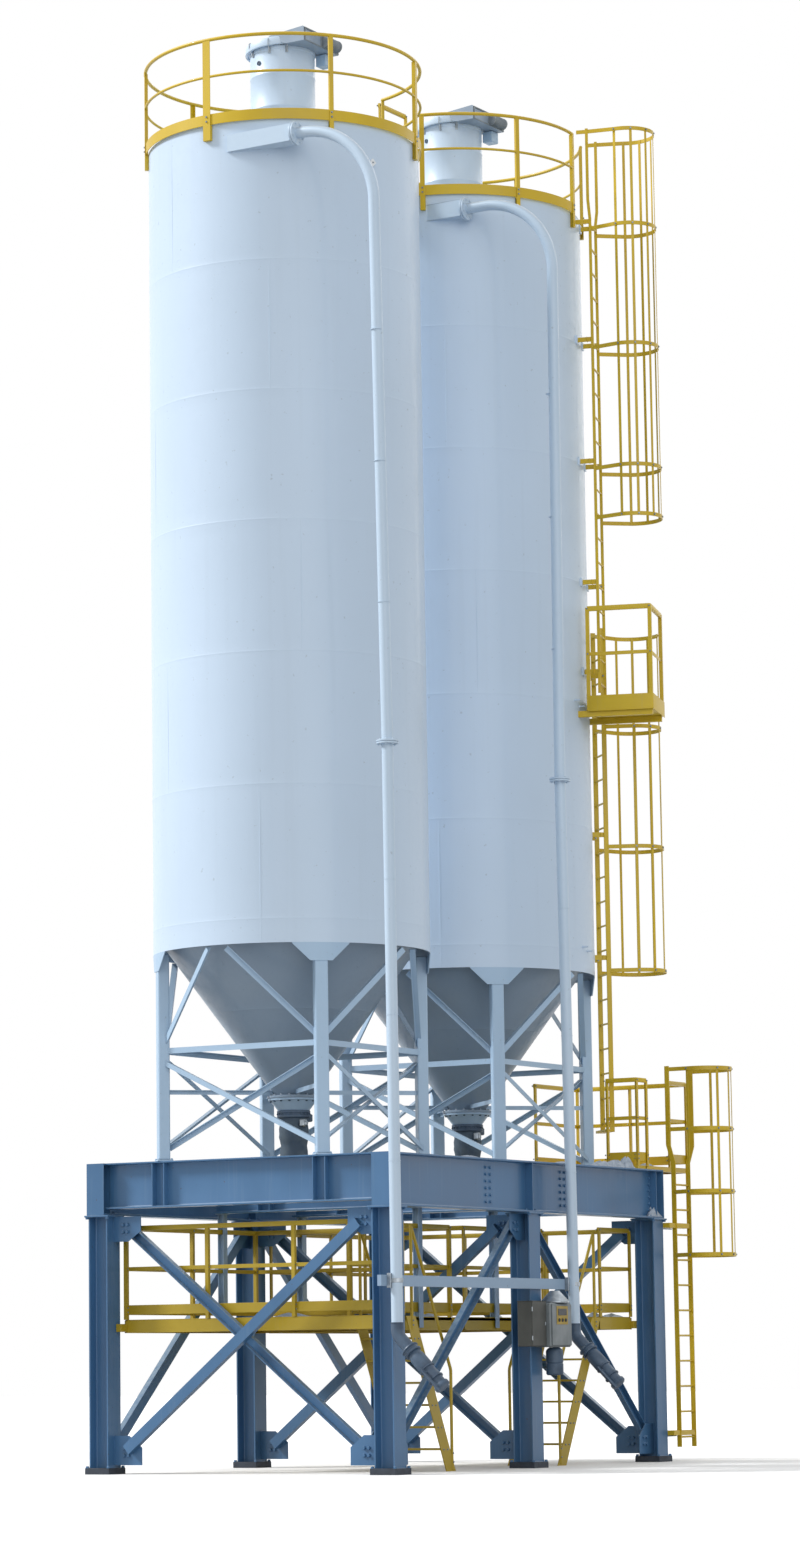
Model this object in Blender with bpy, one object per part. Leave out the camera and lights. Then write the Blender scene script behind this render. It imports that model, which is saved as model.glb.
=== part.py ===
"""Twin cement silo on one steel stand: metres, +Z up, front (filling pipes) facing -Y.

The figures are given in a frame whose origin is on the ground midway between the silos.
The last lines move every object so that the whole box stands centred on the origin.
"""
import bpy
import bmesh
import numpy as np
from mathutils import Matrix, Vector

# Clearance left wherever two objects touch
GAP = 0.0003

# Silos
SILO_R = 1.600
SILO_X = 1.975
WALL = 0.010
SHELL_LOW = 5.883
CONE_TOP = 6.140
SHELL_TOP = 15.375
CONE_FOOT = 4.262
CONE_FOOT_R = 0.215
FOOT_FLANGE_R = 0.300
FOOT_FLANGE = 0.030
SHEET = 0.012
SIDES = 48

# Posts of the roof rails, each as its angle in degrees and its width
LEFT_POSTS = [(15.0, 0.05), (75.0, 0.05), (127.5, 0.05), (180.0, 0.10), (232.5, 0.05),
              (285.0, 0.08), (345.0, 0.05)]
RIGHT_POSTS = [(165.0, 0.05), (120.0, 0.05), (60.0, 0.05), (0.0, 0.05), (-60.0, 0.05),
               (-82.5, 0.06), (-120.0, 0.05), (-165.0, 0.04)]

# Dust filters
FILTER_R = 0.385
FILTER_FOOT = 15.4603
LID_R = 0.440
LID_LOW = 16.640
LID_LEAN = 0.055
FAN_HALF = 0.385
FAN_FRONT = -0.545
FAN_LOW = 16.625
FAN_TOP = 16.800

# Stand
COL_X = 3.060
COL_Y = 1.900
COL_W = 0.254
COL_D = 0.260
COL_FLANGE = 0.018
COL_WEB = 0.012
BASE_T = 0.070
BASE_W = 0.333
CAP_T = 0.020
GIRDER_TOP = 3.513
GIRDER_LOW = 2.924
GIRDER_Y = 1.915
GIRDER_W = 0.230
GIRDER_HALF = 3.206
GIRDER_FLANGE = 0.020
GIRDER_WEB = 0.013
CROSS_LOW = 2.992
CROSS_W = 0.200
LEG_INSET = 0.0584
LEG_TURN = 44.475
LEG_X = (SILO_R - LEG_INSET) * np.cos(np.radians(LEG_TURN))
LEG_Y = (SILO_R - LEG_INSET) * np.sin(np.radians(LEG_TURN))
GUSSET = 0.012

# Working decks inside the stand
DECK_TOP = 1.737
DECK_LOW = 1.587
RAIL_UP = 1.070

# Ladders
RUNG_STEP = 0.3048
LADDER_HALF = 0.192
CAGE_R = 0.352
CAGE_OUT = 0.440
CAGE_SPAN = 105.0
SPLAY = 0.120
UPPER_TURN = -71.76
UPPER_OUT = 0.190
UPPER_R = SILO_R + UPPER_OUT
UPPER_FOOT = 9.330
LOWER_TURN = -43.97
LOWER_OUT = 0.196
LOWER_R = SILO_R + LOWER_OUT
GROUND_X = 3.552
GROUND_Y = -2.100
REST_TOP = 9.095
STAND_DECK = 3.575
BRIDGE_CLEAR = 0.0343

# Filling pipes
PIPE_R = 0.065
PIPE_Y = -2.150
KINK_Z = 8.030
PIPE_FOOT = 1.610
BEND_R = 0.930
INLET_HALF = 0.100

FINISHES = {
    "silo_paint": (0.80, 0.84, 0.88),
    "stand_paint": (0.07, 0.15, 0.29),
    "safety_paint": (0.62, 0.47, 0.05),
    "pipe_paint": (0.74, 0.79, 0.84),
    "fitting_metal": (0.22, 0.27, 0.34),
    "cabinet_grey": (0.42, 0.44, 0.45),
}


def clear_scene():
    for obj in list(bpy.data.objects):
        bpy.data.objects.remove(obj, do_unlink=True)


# Shapes: each returns (points, faces) of one closed surface


def box(x0, x1, y0, y1, z0, z1):
    pts = [(x, y, z) for z in (z0, z1) for y in (y0, y1) for x in (x0, x1)]
    faces = [(0, 2, 3, 1), (4, 5, 7, 6), (0, 1, 5, 4), (2, 6, 7, 3), (0, 4, 6, 2), (1, 3, 7, 5)]
    return pts, faces


def prism(outline, place, lo, hi):
    """An outline of 2-D points swept from lo to hi; place(a, b, c) says where c is the sweep."""
    n = len(outline)
    pts = [place(a, b, lo) for a, b in outline] + [place(a, b, hi) for a, b in outline]
    faces = [tuple(range(n))[::-1], tuple(range(n, 2 * n))]
    faces += [(i, (i + 1) % n, n + (i + 1) % n, n + i) for i in range(n)]
    return pts, faces


def along_x(a, b, c):
    return (c, a, b)


def along_y(a, b, c):
    return (a, c, b)


def along_z(a, b, c):
    return (a, b, c)


def bar(p, q, wide, high, side=(0, 0, 1)):
    """A straight bar from p to q: high is measured near the direction side, wide across it."""
    p, q = Vector(p), Vector(q)
    run = (q - p).normalized()
    across = run.cross(Vector(side)).normalized()
    up = across.cross(run)
    pts = []
    for end in (p, q):
        for a, b in ((-1, -1), (1, -1), (1, 1), (-1, 1)):
            pts.append(tuple(end + across * (a * wide / 2) + up * (b * high / 2)))
    faces = [(3, 2, 1, 0), (4, 5, 6, 7)]
    faces += [(i, (i + 1) % 4, 4 + (i + 1) % 4, 4 + i) for i in range(4)]
    return pts, faces


def sweep(points, radius, sides=12):
    """A round bar or pipe filled solid along a line of points, mitred at each bend."""
    points = [Vector(p) for p in points]
    rings = []
    normal = None
    for i, p in enumerate(points):
        before = (p - points[i - 1]).normalized() if i else None
        after = (points[i + 1] - p).normalized() if i + 1 < len(points) else None
        run = ((before or after) + (after or before)).normalized()
        if normal is None:
            normal = run.cross(Vector((0.31, 0.17, 0.93))).normalized()
        normal = (normal - run * normal.dot(run)).normalized()
        other = run.cross(normal)
        turn = run.dot(before or after)
        bend = (after - before) if before and after else None
        ring = []
        for k in range(sides):
            a = 2 * np.pi * (k + 0.5) / sides
            off = normal * (radius * np.cos(a)) + other * (radius * np.sin(a))
            if bend is not None and bend.length > 1e-6:
                dirn = bend.normalized()
                off = off + dirn * (off.dot(dirn) * (1 / turn - 1))
            ring.append(tuple(p + off))
        rings.append(ring)
    pts = [p for ring in rings for p in ring]
    faces = [tuple(range(sides))[::-1]]
    last = (len(rings) - 1) * sides
    faces.append(tuple(range(last, last + sides)))
    for j in range(len(rings) - 1):
        for k in range(sides):
            a, b = j * sides + k, j * sides + (k + 1) % sides
            faces.append((a, b, b + sides, a + sides))
    return pts, faces


def lathe(cx, cy, profile, sides=SIDES, start=0.0):
    """A closed profile of (radius, height) turned about the upright line at cx, cy."""
    pts = []
    index = []
    for r, z in profile:
        if r < 1e-6:
            index.append([len(pts)] * sides)
            pts.append((cx, cy, z))
            continue
        index.append([len(pts) + k for k in range(sides)])
        for k in range(sides):
            a = start + 2 * np.pi * k / sides
            pts.append((cx + r * np.cos(a), cy + r * np.sin(a), z))
    faces = []
    for i in range(len(profile)):
        here, there = index[i], index[(i + 1) % len(profile)]
        if profile[i][0] < 1e-6 and profile[(i + 1) % len(profile)][0] < 1e-6:
            continue
        for k in range(sides):
            m = (k + 1) % sides
            face = []
            for v in (here[k], here[m], there[m], there[k]):
                if v not in face:
                    face.append(v)
            if len(face) > 2:
                faces.append(tuple(face))
    return pts, faces


def arc(cx, cy, r, a0, a1, n):
    """Points on a circle from a0 to a1 in degrees."""
    angles = np.radians(np.linspace(a0, a1, n + 1))
    return [(cx + r * np.cos(a), cy + r * np.sin(a)) for a in angles]


def strip(path, z0, z1, thick):
    """A flat bar standing on edge that follows a line of plan points."""
    path = [Vector((x, y)) for x, y in path]
    left, right = [], []
    for i, p in enumerate(path):
        before = (p - path[i - 1]).normalized() if i else None
        after = (path[i + 1] - p).normalized() if i + 1 < len(path) else None
        run = ((before or after) + (after or before)).normalized()
        side = Vector((-run.y, run.x))
        reach = thick / 2 / max(0.3, run.dot(before or after))
        left.append(tuple(p + side * reach))
        right.append(tuple(p - side * reach))
    outline = right + left[::-1]
    n = len(path)
    pts = [(x, y, z0) for x, y in outline] + [(x, y, z1) for x, y in outline]
    m = 2 * n
    faces = []
    for i in range(n - 1):
        j = m - 1 - i
        faces.append((i, j, j - 1, i + 1))
        faces.append((m + i, m + i + 1, m + j - 1, m + j))
    faces += [(i, (i + 1) % m, m + (i + 1) % m, m + i) for i in range(m)]
    return pts, faces


def curved_plate(turn, lower_edge, top, r0, r1):
    """A plate rolled to the shell's curve: lower_edge holds (distance along the arc, height)."""
    pts = []
    for dist, z in lower_edge:
        a = np.radians(turn) + dist / SILO_R
        for r, h in ((r0, z), (r1, z), (r1, top), (r0, top)):
            pts.append((r * np.cos(a), r * np.sin(a), h))
    n = len(lower_edge)
    faces = [(3, 2, 1, 0), (4 * n - 4, 4 * n - 3, 4 * n - 2, 4 * n - 1)]
    for i in range(n - 1):
        for k in range(4):
            m = (k + 1) % 4
            faces.append((4 * i + k, 4 * i + m, 4 * i + 4 + m, 4 * i + 4 + k))
    return pts, faces


def turned(pieces, x, y, degrees):
    """The pieces turned about the upright axis, then moved to x, y."""
    c, s = np.cos(np.radians(degrees)), np.sin(np.radians(degrees))
    out = []
    for pts, faces in pieces:
        out.append(([(x + c * px - s * py, y + s * px + c * py, pz) for px, py, pz in pts], faces))
    return out


def mesh_of(pieces, name):
    pts, faces = [], []
    for p, f in pieces:
        base = len(pts)
        pts += p
        faces += [tuple(base + i for i in face) for face in f]
    mesh = bpy.data.meshes.new(name)
    mesh.from_pydata(pts, [], faces)
    work = bmesh.new()
    work.from_mesh(mesh)
    bmesh.ops.recalc_face_normals(work, faces=work.faces)
    work.to_mesh(mesh)
    work.free()
    return mesh


def finish(name):
    mat = bpy.data.materials.new(name)
    mat.use_nodes = True
    shader = mat.node_tree.nodes["Principled BSDF"]
    return mat, shader


def add(name, pieces, paint, smooth=None):
    """One object from overlapping closed pieces, joined into a single body."""
    mesh = mesh_of(pieces[:1], name)
    obj = bpy.data.objects.new(name, mesh)
    bpy.context.scene.collection.objects.link(obj)
    if len(pieces) > 1:
        other = bpy.data.objects.new(name + "_more", mesh_of(pieces[1:], name + "_more"))
        bpy.context.scene.collection.objects.link(other)
        joint = obj.modifiers.new("join", "BOOLEAN")
        joint.operation = "UNION"
        joint.solver = "EXACT"
        joint.use_self = True
        joint.object = other
        graph = bpy.context.evaluated_depsgraph_get()
        joined = bpy.data.meshes.new_from_object(obj.evaluated_get(graph))
        obj.modifiers.clear()
        obj.data = joined
        bpy.data.objects.remove(other, do_unlink=True)
    mat, shader = finish(name)
    shader.inputs["Base Color"].default_value = (*FINISHES[paint], 1.0)
    shader.inputs["Roughness"].default_value = 0.5
    obj.data.materials.clear()
    obj.data.materials.append(mat)
    if smooth:
        limit = np.radians(smooth)
        for poly in obj.data.polygons:
            poly.use_smooth = True
        work = bmesh.new()
        work.from_mesh(obj.data)
        for edge in work.edges:
            edge.smooth = bool(len(edge.link_faces) == 2 and edge.calc_face_angle() < limit)
        work.to_mesh(obj.data)
        work.free()
    return obj


# Stand


def column(x, y, inner_x, inner_y):
    """An H column with base, cap and gusset plates; inner_x and inner_y list where gussets go."""
    top = GIRDER_LOW - GAP
    half_w, half_d = COL_W / 2, COL_D / 2
    low, high = BASE_T, top - CAP_T
    plate = BASE_W / 2
    parts = [box(x - plate, x + plate, y - plate, y + plate, 0, BASE_T)]
    parts.append(box(x - 0.165, x + 0.165, y - 0.165, y + 0.165, high, top))
    for side in (-1, 1):
        a, b = sorted((y + side * half_d, y + side * (half_d - COL_FLANGE)))
        parts.append(box(x - half_w, x + half_w, a, b, low - 0.01, high + 0.01))
    parts.append(box(x - COL_WEB / 2, x + COL_WEB / 2, y - half_d + 0.01, y + half_d - 0.01,
                     low - 0.01, high + 0.01))
    step = -1 if y > 0 else 1
    near, far = y + step * (half_d - 0.01), y + step * (half_d + 0.385)
    a, b = sorted((near, far))
    for z0, z1 in ((0.10, 0.43), (2.62, high + 0.01)):
        if inner_y:
            parts.append(box(x - GUSSET / 2, x + GUSSET / 2, a, b, z0, z1))
    for side, z0, z1 in inner_x:
        a, b = sorted((x, x + side * 0.36))
        parts.append(box(a, b, y - GUSSET / 2, y + GUSSET / 2, z0, z1))
    return parts


def girder(y, stiff_x):
    half, web, fl = GIRDER_W / 2, GIRDER_WEB / 2, GIRDER_FLANGE
    ends = GIRDER_HALF
    parts = [box(-ends, ends, y - half, y + half, GIRDER_TOP - fl, GIRDER_TOP)]
    parts.append(box(-ends, ends, y - half, y + half, GIRDER_LOW, GIRDER_LOW + fl))
    parts.append(box(-ends, ends, y - web, y + web, GIRDER_LOW + 0.01, GIRDER_TOP - 0.01))
    for s in (-1, 1):
        a, b = sorted((s * (ends + 0.012), s * (ends - 0.006)))
        parts.append(box(a, b, y - half - 0.004, y + half + 0.004, GIRDER_LOW, GIRDER_TOP))
    for x in stiff_x:
        parts.append(box(x - 0.006, x + 0.006, y - half + 0.012, y + half - 0.012,
                         GIRDER_LOW + 0.01, GIRDER_TOP - 0.01))
    return parts


def cross_beam(x):
    reach = GIRDER_Y - GIRDER_W / 2 - GAP
    half = CROSS_W / 2
    top = GIRDER_TOP
    parts = [box(x - half, x + half, -reach, reach, top - 0.018, top)]
    parts.append(box(x - half, x + half, -reach, reach, CROSS_LOW, CROSS_LOW + 0.018))
    parts.append(box(x - 0.006, x + 0.006, -reach, reach, CROSS_LOW + 0.01, top - 0.01))
    for y in (-LEG_Y - 0.08, -LEG_Y + 0.08, LEG_Y - 0.08, LEG_Y + 0.08):
        parts.append(box(x - half + 0.008, x + half - 0.008, y - 0.006, y + 0.006,
                         CROSS_LOW + 0.01, top - 0.01))
    return parts


def end_brace(x, side, rising):
    """One bar of a cross in an end frame, bolted on one face of the gussets."""
    at = x + side * (GUSSET / 2 + GAP + 0.040)
    y = 1.56 * rising
    return [bar((at, -y, 0.27), (at, y, 2.755), 0.080, 0.120, side=(0, 0, 1))]


def face_brace(y, side):
    """The single diagonal of a long face, from the middle column's head to an outer column's foot."""
    at = y + (1 if y < 0 else -1) * (GUSSET / 2 + GAP + 0.035)
    return [bar((side * 0.20, at, 2.790), (side * (COL_X - 0.16), at, 0.345), 0.070, 0.125)]


def build_stand():
    spots = {
        "column_front_left": (-COL_X, -COL_Y, [(1, 0.10, 0.46)]),
        "column_front_middle": (0.0, -COL_Y, [(-1, 2.60, 2.91), (1, 2.60, 2.91)]),
        "column_front_right": (COL_X, -COL_Y, [(-1, 0.10, 0.46)]),
        "column_back_left": (-COL_X, COL_Y, [(1, 0.10, 0.46)]),
        "column_back_middle": (0.0, COL_Y, [(-1, 2.60, 2.91), (1, 2.60, 2.91)]),
        "column_back_right": (COL_X, COL_Y, [(-1, 0.10, 0.46)]),
    }
    for name, (x, y, gussets) in spots.items():
        add(name, column(x, y, gussets, True), "stand_paint")
    add("girder_front", girder(-GIRDER_Y, (-COL_X, 0.0, COL_X)), "stand_paint")
    add("girder_back", girder(GIRDER_Y, (-COL_X, 0.0, COL_X)), "stand_paint")
    names = ("outer_left", "inner_left", "inner_right", "outer_right")
    for word, x in zip(names, (-SILO_X - LEG_X, -SILO_X + LEG_X, SILO_X - LEG_X, SILO_X + LEG_X)):
        add("cross_beam_" + word, cross_beam(x), "stand_paint")
    for word, x in (("left", -COL_X), ("middle", 0.0), ("right", COL_X)):
        add("end_brace_" + word + "_rising", end_brace(x, 1, 1), "stand_paint")
        add("end_brace_" + word + "_falling", end_brace(x, -1, -1), "stand_paint")
    for row, y in (("front", -COL_Y), ("back", COL_Y)):
        for word, side in (("left", -1), ("right", 1)):
            add("face_brace_" + row + "_" + word, face_brace(y, side), "stand_paint")


# Silos


def leg(x, y):
    """One silo leg under the shell's edge, with its rolled head plate and its foot."""
    turn = np.degrees(np.arctan2(y, x))
    r = np.hypot(x, y)
    foot, head = GIRDER_TOP + GAP, SHELL_LOW - GAP
    parts = turned([
        box(SILO_R - 0.155, SILO_R - 0.004, -0.075, 0.075, foot + 0.010, head),
        box(r - 0.105, r + 0.105, -0.100, 0.100, foot, foot + 0.020),
    ], 0, 0, turn)
    half = [(0.31, 0.05), (0.22, 0.13), (0.135, 0.21), (0.10, 0.30)]
    edge = [(-d, head - z) for d, z in half] + [(d, head - z) for d, z in half[::-1]]
    parts.append(curved_plate(turn, edge, head, SILO_R - 0.014, SILO_R))
    return parts


def side_frame(spread, offset, with_legs):
    """The bracing between two legs, standing across X at y = -offset, and the legs when asked."""
    r = SILO_R - 0.085
    k = r / np.hypot(LEG_X, LEG_Y)
    x, y = spread * k, -offset * k
    parts = []
    trim = 0.0 if with_legs else 0.150 + GAP
    if with_legs:
        parts += leg(spread, -offset)
        parts += leg(-spread, -offset)
        for s in (-1, 1):
            parts.append(box(s * x - 0.012, s * x + 0.012, y, y + 0.150, 3.600, 4.950))
    inner = x - trim
    mid, low = 4.735, 4.130
    parts.append(box(-inner, inner, y - 0.035, y + 0.035, mid - 0.04, mid + 0.04))
    parts.append(box(-inner, inner, y - 0.020, y + 0.020, low - 0.025, low + 0.025))
    peak = (0.0, -(SILO_R - 0.07), SHELL_LOW - GAP - 0.045)
    for s in (-1, 1):
        parts.append(bar((s * (inner - 0.02), y, mid), (s * 0.03, peak[1], peak[2] - 0.03),
                         0.045, 0.065, side=(0, -1, 0)))
        parts.append(bar((s * (inner - 0.02), y, mid - 0.10), (-s * (inner - 0.02), y, 3.66),
                         0.040, 0.065))
    parts.append(box(-0.16, 0.16, peak[1] - 0.030, peak[1] + 0.030, peak[2] - 0.10, SHELL_LOW - GAP))
    parts.append(box(-inner, -inner + 0.10, y - 0.012, y + 0.012, mid - 0.2, mid + 0.2))
    parts.append(box(inner - 0.10, inner, y - 0.012, y + 0.012, mid - 0.2, mid + 0.2))
    if not with_legs:
        for s in (-1, 1):
            a, b = sorted((s * inner, s * (inner - 0.10)))
            parts.append(box(a, b, y - 0.012, y + 0.012, 3.60, mid))
    return parts


def rail_ring(posts, doors, toe_arc):
    """Roof edge rail: two rails and posts on a circle with doors left open, and a toe plate."""
    r = SILO_R + 0.030
    arcs = []
    for i, (a0, a1) in enumerate(doors):
        nxt = doors[(i + 1) % len(doors)][0]
        if nxt <= a1:
            nxt += 360
        arcs.append((a1, nxt))
    parts = []
    for a0, a1 in arcs:
        n = max(4, int((a1 - a0) / 7.5))
        line = arc(0, 0, r, a0, a1, n)
        parts.append(sweep([(px, py, 16.390) for px, py in line], 0.021, 6))
        parts.append(sweep([(px, py, 15.950) for px, py in line], 0.017, 4))
    z0, z1 = SHELL_TOP, SHELL_TOP + 0.128
    if toe_arc:
        parts.append(strip(arc(0, 0, r, *toe_arc, 45), z0, z1, 0.008))
    else:
        ring = [(r - 0.004, z0), (r + 0.004, z0), (r + 0.004, z1), (r - 0.004, z1)]
        parts.append(lathe(0, 0, ring, SIDES))
    for a, wide in posts:
        low = SHELL_TOP - (0.035 if wide < 0.045 else 0.185)
        piece = box(SILO_R + GAP, SILO_R + 0.056, -wide / 2, wide / 2, low, 16.385)
        parts += turned([piece], 0, 0, a)
    return parts


def dust_filter():
    """A round can on the roof, a lid that leans up to the front, and a fan box with its motor."""
    can = [(0, FILTER_FOOT), (0.420, FILTER_FOOT), (0.420, FILTER_FOOT + 0.037),
           (FILTER_R, FILTER_FOOT + 0.037), (FILTER_R, LID_LOW + 0.040), (0, LID_LOW + 0.040)]
    lid = [(0, LID_LOW), (LID_R, LID_LOW), (LID_R, LID_LOW + 0.060), (LID_R - 0.026, LID_LOW + 0.090),
           (0, LID_LOW + 0.124)]
    points, faces = lathe(0, 0, lid, 32)
    leaning = [(px, py, pz - LID_LEAN * py) for px, py, pz in points]
    side = [(FAN_FRONT, FAN_LOW), (FAN_FRONT, FAN_TOP - 0.012), (FAN_FRONT + 0.012, FAN_TOP),
            (-0.060, LID_LOW + 0.115), (-0.040, LID_LOW + 0.065), (-0.300, FAN_LOW)]
    motor_z = FAN_LOW + 0.080
    motor = sweep([(0.010, FAN_FRONT - 0.020, motor_z), (0.345, FAN_FRONT - 0.020, motor_z)], 0.072, 16)
    return [lathe(0, 0, can, 32), (leaning, faces), prism(side, along_x, -FAN_HALF, FAN_HALF), motor,
            box(0.215, 0.375, -0.470, -0.330, FAN_LOW - 0.145, FAN_LOW + 0.005)]


def hopper():
    s = SHEET
    top_r = SILO_R - WALL - GAP
    slope = (top_r - CONE_FOOT_R) / (CONE_TOP - CONE_FOOT)
    inner = s * np.sqrt(1 + slope * slope)
    profile = [(top_r, CONE_TOP), (CONE_FOOT_R, CONE_FOOT), (FOOT_FLANGE_R, CONE_FOOT),
               (FOOT_FLANGE_R, CONE_FOOT - FOOT_FLANGE), (CONE_FOOT_R - inner, CONE_FOOT - FOOT_FLANGE),
               (CONE_FOOT_R - inner, CONE_FOOT), (top_r - inner, CONE_TOP)]
    return [lathe(0, 0, profile, SIDES)]


def outlet():
    top = CONE_FOOT - FOOT_FLANGE - GAP
    profile = [(0, top), (0.29, top), (0.29, top - 0.025), (0.15, top - 0.15), (0.19, top - 0.155),
               (0.19, top - 0.26), (0.125, top - 0.265), (0.125, top - 0.62), (0, top - 0.62)]
    parts = [lathe(0, 0, profile, 24)]
    parts.append(box(0.10, 0.33, -0.055, 0.055, top - 0.26, top - 0.16))
    return parts


def round_bend(before, corner, after, radius, n):
    """Points of an arc of the given radius that turns the corner between before and after."""
    before, corner, after = Vector(before), Vector(corner), Vector(after)
    into = (corner - before).normalized()
    out = (after - corner).normalized()
    half = into.angle(out) / 2
    middle = corner + (out - into).normalized() * (radius / np.cos(half))
    start = corner - into * (radius * np.tan(half)) - middle
    turns = np.linspace(0, 2 * half, n + 1)
    return [tuple(middle + start * np.cos(t) + into * (radius * np.sin(t))) for t in turns]


def disc_on(p, run, radius, half, sides=16):
    run = Vector(run).normalized()
    p = Vector(p)
    return sweep([p - run * half, p + run * half], radius, sides)


def shell_line(a0, a1):
    """Plan points just outside the shell's flat-sided wall from a0 to a1 degrees."""
    step = 360.0 / SIDES
    middle = [k * step for k in range(SIDES * 2) if a0 < k * step < a1]
    line = []
    for a in [a0] + middle + [a1]:
        off = np.radians(a % step - step / 2)
        r = SILO_R * np.cos(np.radians(step / 2)) / np.cos(off) + GAP
        line.append((r * np.cos(np.radians(a)), r * np.sin(np.radians(a))))
    return line


def inlet_box(cx, top, y_flange, y_end):
    """A square duct that runs back along the shell's flank and dies into it."""
    face = top.x - cx - INLET_HALF
    inner = top.x - cx + INLET_HALF
    if face < -SILO_R:
        a0 = 180 + np.degrees(np.arcsin(-y_end / SILO_R))
        end = [(face, y_end)]
    else:
        a0 = 181 + np.degrees(np.arccos(-face / SILO_R))
        end = []
    a1 = 180 + np.degrees(np.arccos(-inner / SILO_R))
    plan = [(inner, y_flange), (face, y_flange)] + end + shell_line(a0, a1)
    plan = [(cx + x, y) for x, y in plan]
    return prism(plan, along_z, top.z - INLET_HALF, top.z + INLET_HALF)


def fill_pipe(cx, off, y_top, z_top, lead, y_end, x_kink, x_low):
    """Filling pipe: inlet box and flange, big bend, long pipe with a flanged kink, foot elbow.

    off is how far the box's middle lies left of the silo's axis, and lead is how far its flange
    stands in front of the shell, measured at the box's inner side.
    """
    top = Vector((cx - off, y_top, z_top))
    y_flange = -np.sqrt(SILO_R ** 2 - (off - INLET_HALF) ** 2) - lead
    mouth = Vector((top.x, y_flange, top.z))
    kink = Vector((x_kink, PIPE_Y, KINK_Z))
    knee = Vector((x_low, PIPE_Y, PIPE_FOOT - 0.10))
    out = Vector((0.0, -0.7071, -0.7071))
    tip = knee + out * 0.80
    back = Vector((0.0, 1.0, 0.0))
    line = [tuple(mouth + back * 0.10)] + round_bend(mouth, top, kink, BEND_R, 8) + [tuple(kink)]
    line += round_bend(kink, knee, tip, 0.24, 4) + [tuple(tip)]
    parts = [sweep(line, PIPE_R, 14)]
    parts.append(disc_on(kink, (0, 0, 1), 0.125, 0.022))
    face = -(COL_Y + COL_D / 2) - 2 * GAP - 0.050
    parts.append(box(x_low - 0.095, x_low + 0.095, PIPE_Y + 0.01, face, 2.000, 2.200))
    parts.append(disc_on(mouth, back, 0.140, 0.024))
    parts.append(disc_on(knee + out * 0.42, out, 0.085, 0.22))
    parts.append(disc_on(knee + out * 0.28, out, 0.098, 0.036))
    parts.append(disc_on(knee + out * 0.62, out, 0.092, 0.032))
    parts.append(disc_on(tip - out * 0.02, out, 0.085, 0.035))
    parts.append(inlet_box(cx, top, y_flange + 0.020, y_end))
    return parts


def move(pieces, x):
    return [([(px + x, py, pz) for px, py, pz in pts], faces) for pts, faces in pieces]


def build_silo(word, x, posts, doors, toe_arc):
    shell = [(SILO_R - WALL, SHELL_LOW), (SILO_R, SHELL_LOW), (SILO_R, SHELL_TOP),
             (SILO_R - WALL, SHELL_TOP)]
    add("shell_" + word, [lathe(x, 0, shell)], "silo_paint", smooth=30)
    roof = [(0, SHELL_TOP + GAP), (SILO_R, SHELL_TOP + GAP), (SILO_R, SHELL_TOP + 0.020),
            (0.42, SHELL_TOP + 0.085), (0, SHELL_TOP + 0.085)]
    add("roof_" + word, [lathe(x, 0, roof)], "silo_paint", smooth=30)
    add("hopper_" + word, move(hopper(), x), "silo_paint", smooth=30)
    add("outlet_" + word, move(outlet(), x), "fitting_metal", smooth=30)
    front = side_frame(LEG_X, LEG_Y, True)
    add("leg_frame_front_" + word, move(front, x), "silo_paint")
    add("leg_frame_back_" + word, move(turned(front, 0, 0, 180), x), "silo_paint")
    side = side_frame(LEG_Y, LEG_X, False)
    add("leg_bracing_left_" + word, move(turned(side, 0, 0, -90), x), "silo_paint")
    add("leg_bracing_right_" + word, move(turned(side, 0, 0, 90), x), "silo_paint")
    add("roof_rail_" + word, move(rail_ring(posts, doors, toe_arc), x), "safety_paint", smooth=50)
    add("dust_filter_" + word, move(dust_filter(), x), "silo_paint", smooth=30)


# Ladders, platforms and decks


def hoop(u, middle, radius, z, start, tail, turns):
    """One flat hoop of a cage at height z, from stile to stile or over part of its circle."""
    line = [(middle + radius * np.cos(a), radius * np.sin(a)) for a in np.radians(turns)]
    if turns[0] == -CAGE_SPAN:
        line = [(u, -start)] + line
    line = line + [(u, start)]
    if tail:
        line = [(u - tail, -start)] + line + [(u - tail, start)]
    return strip(line, z - 0.025, z + 0.025, 0.009)


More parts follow.
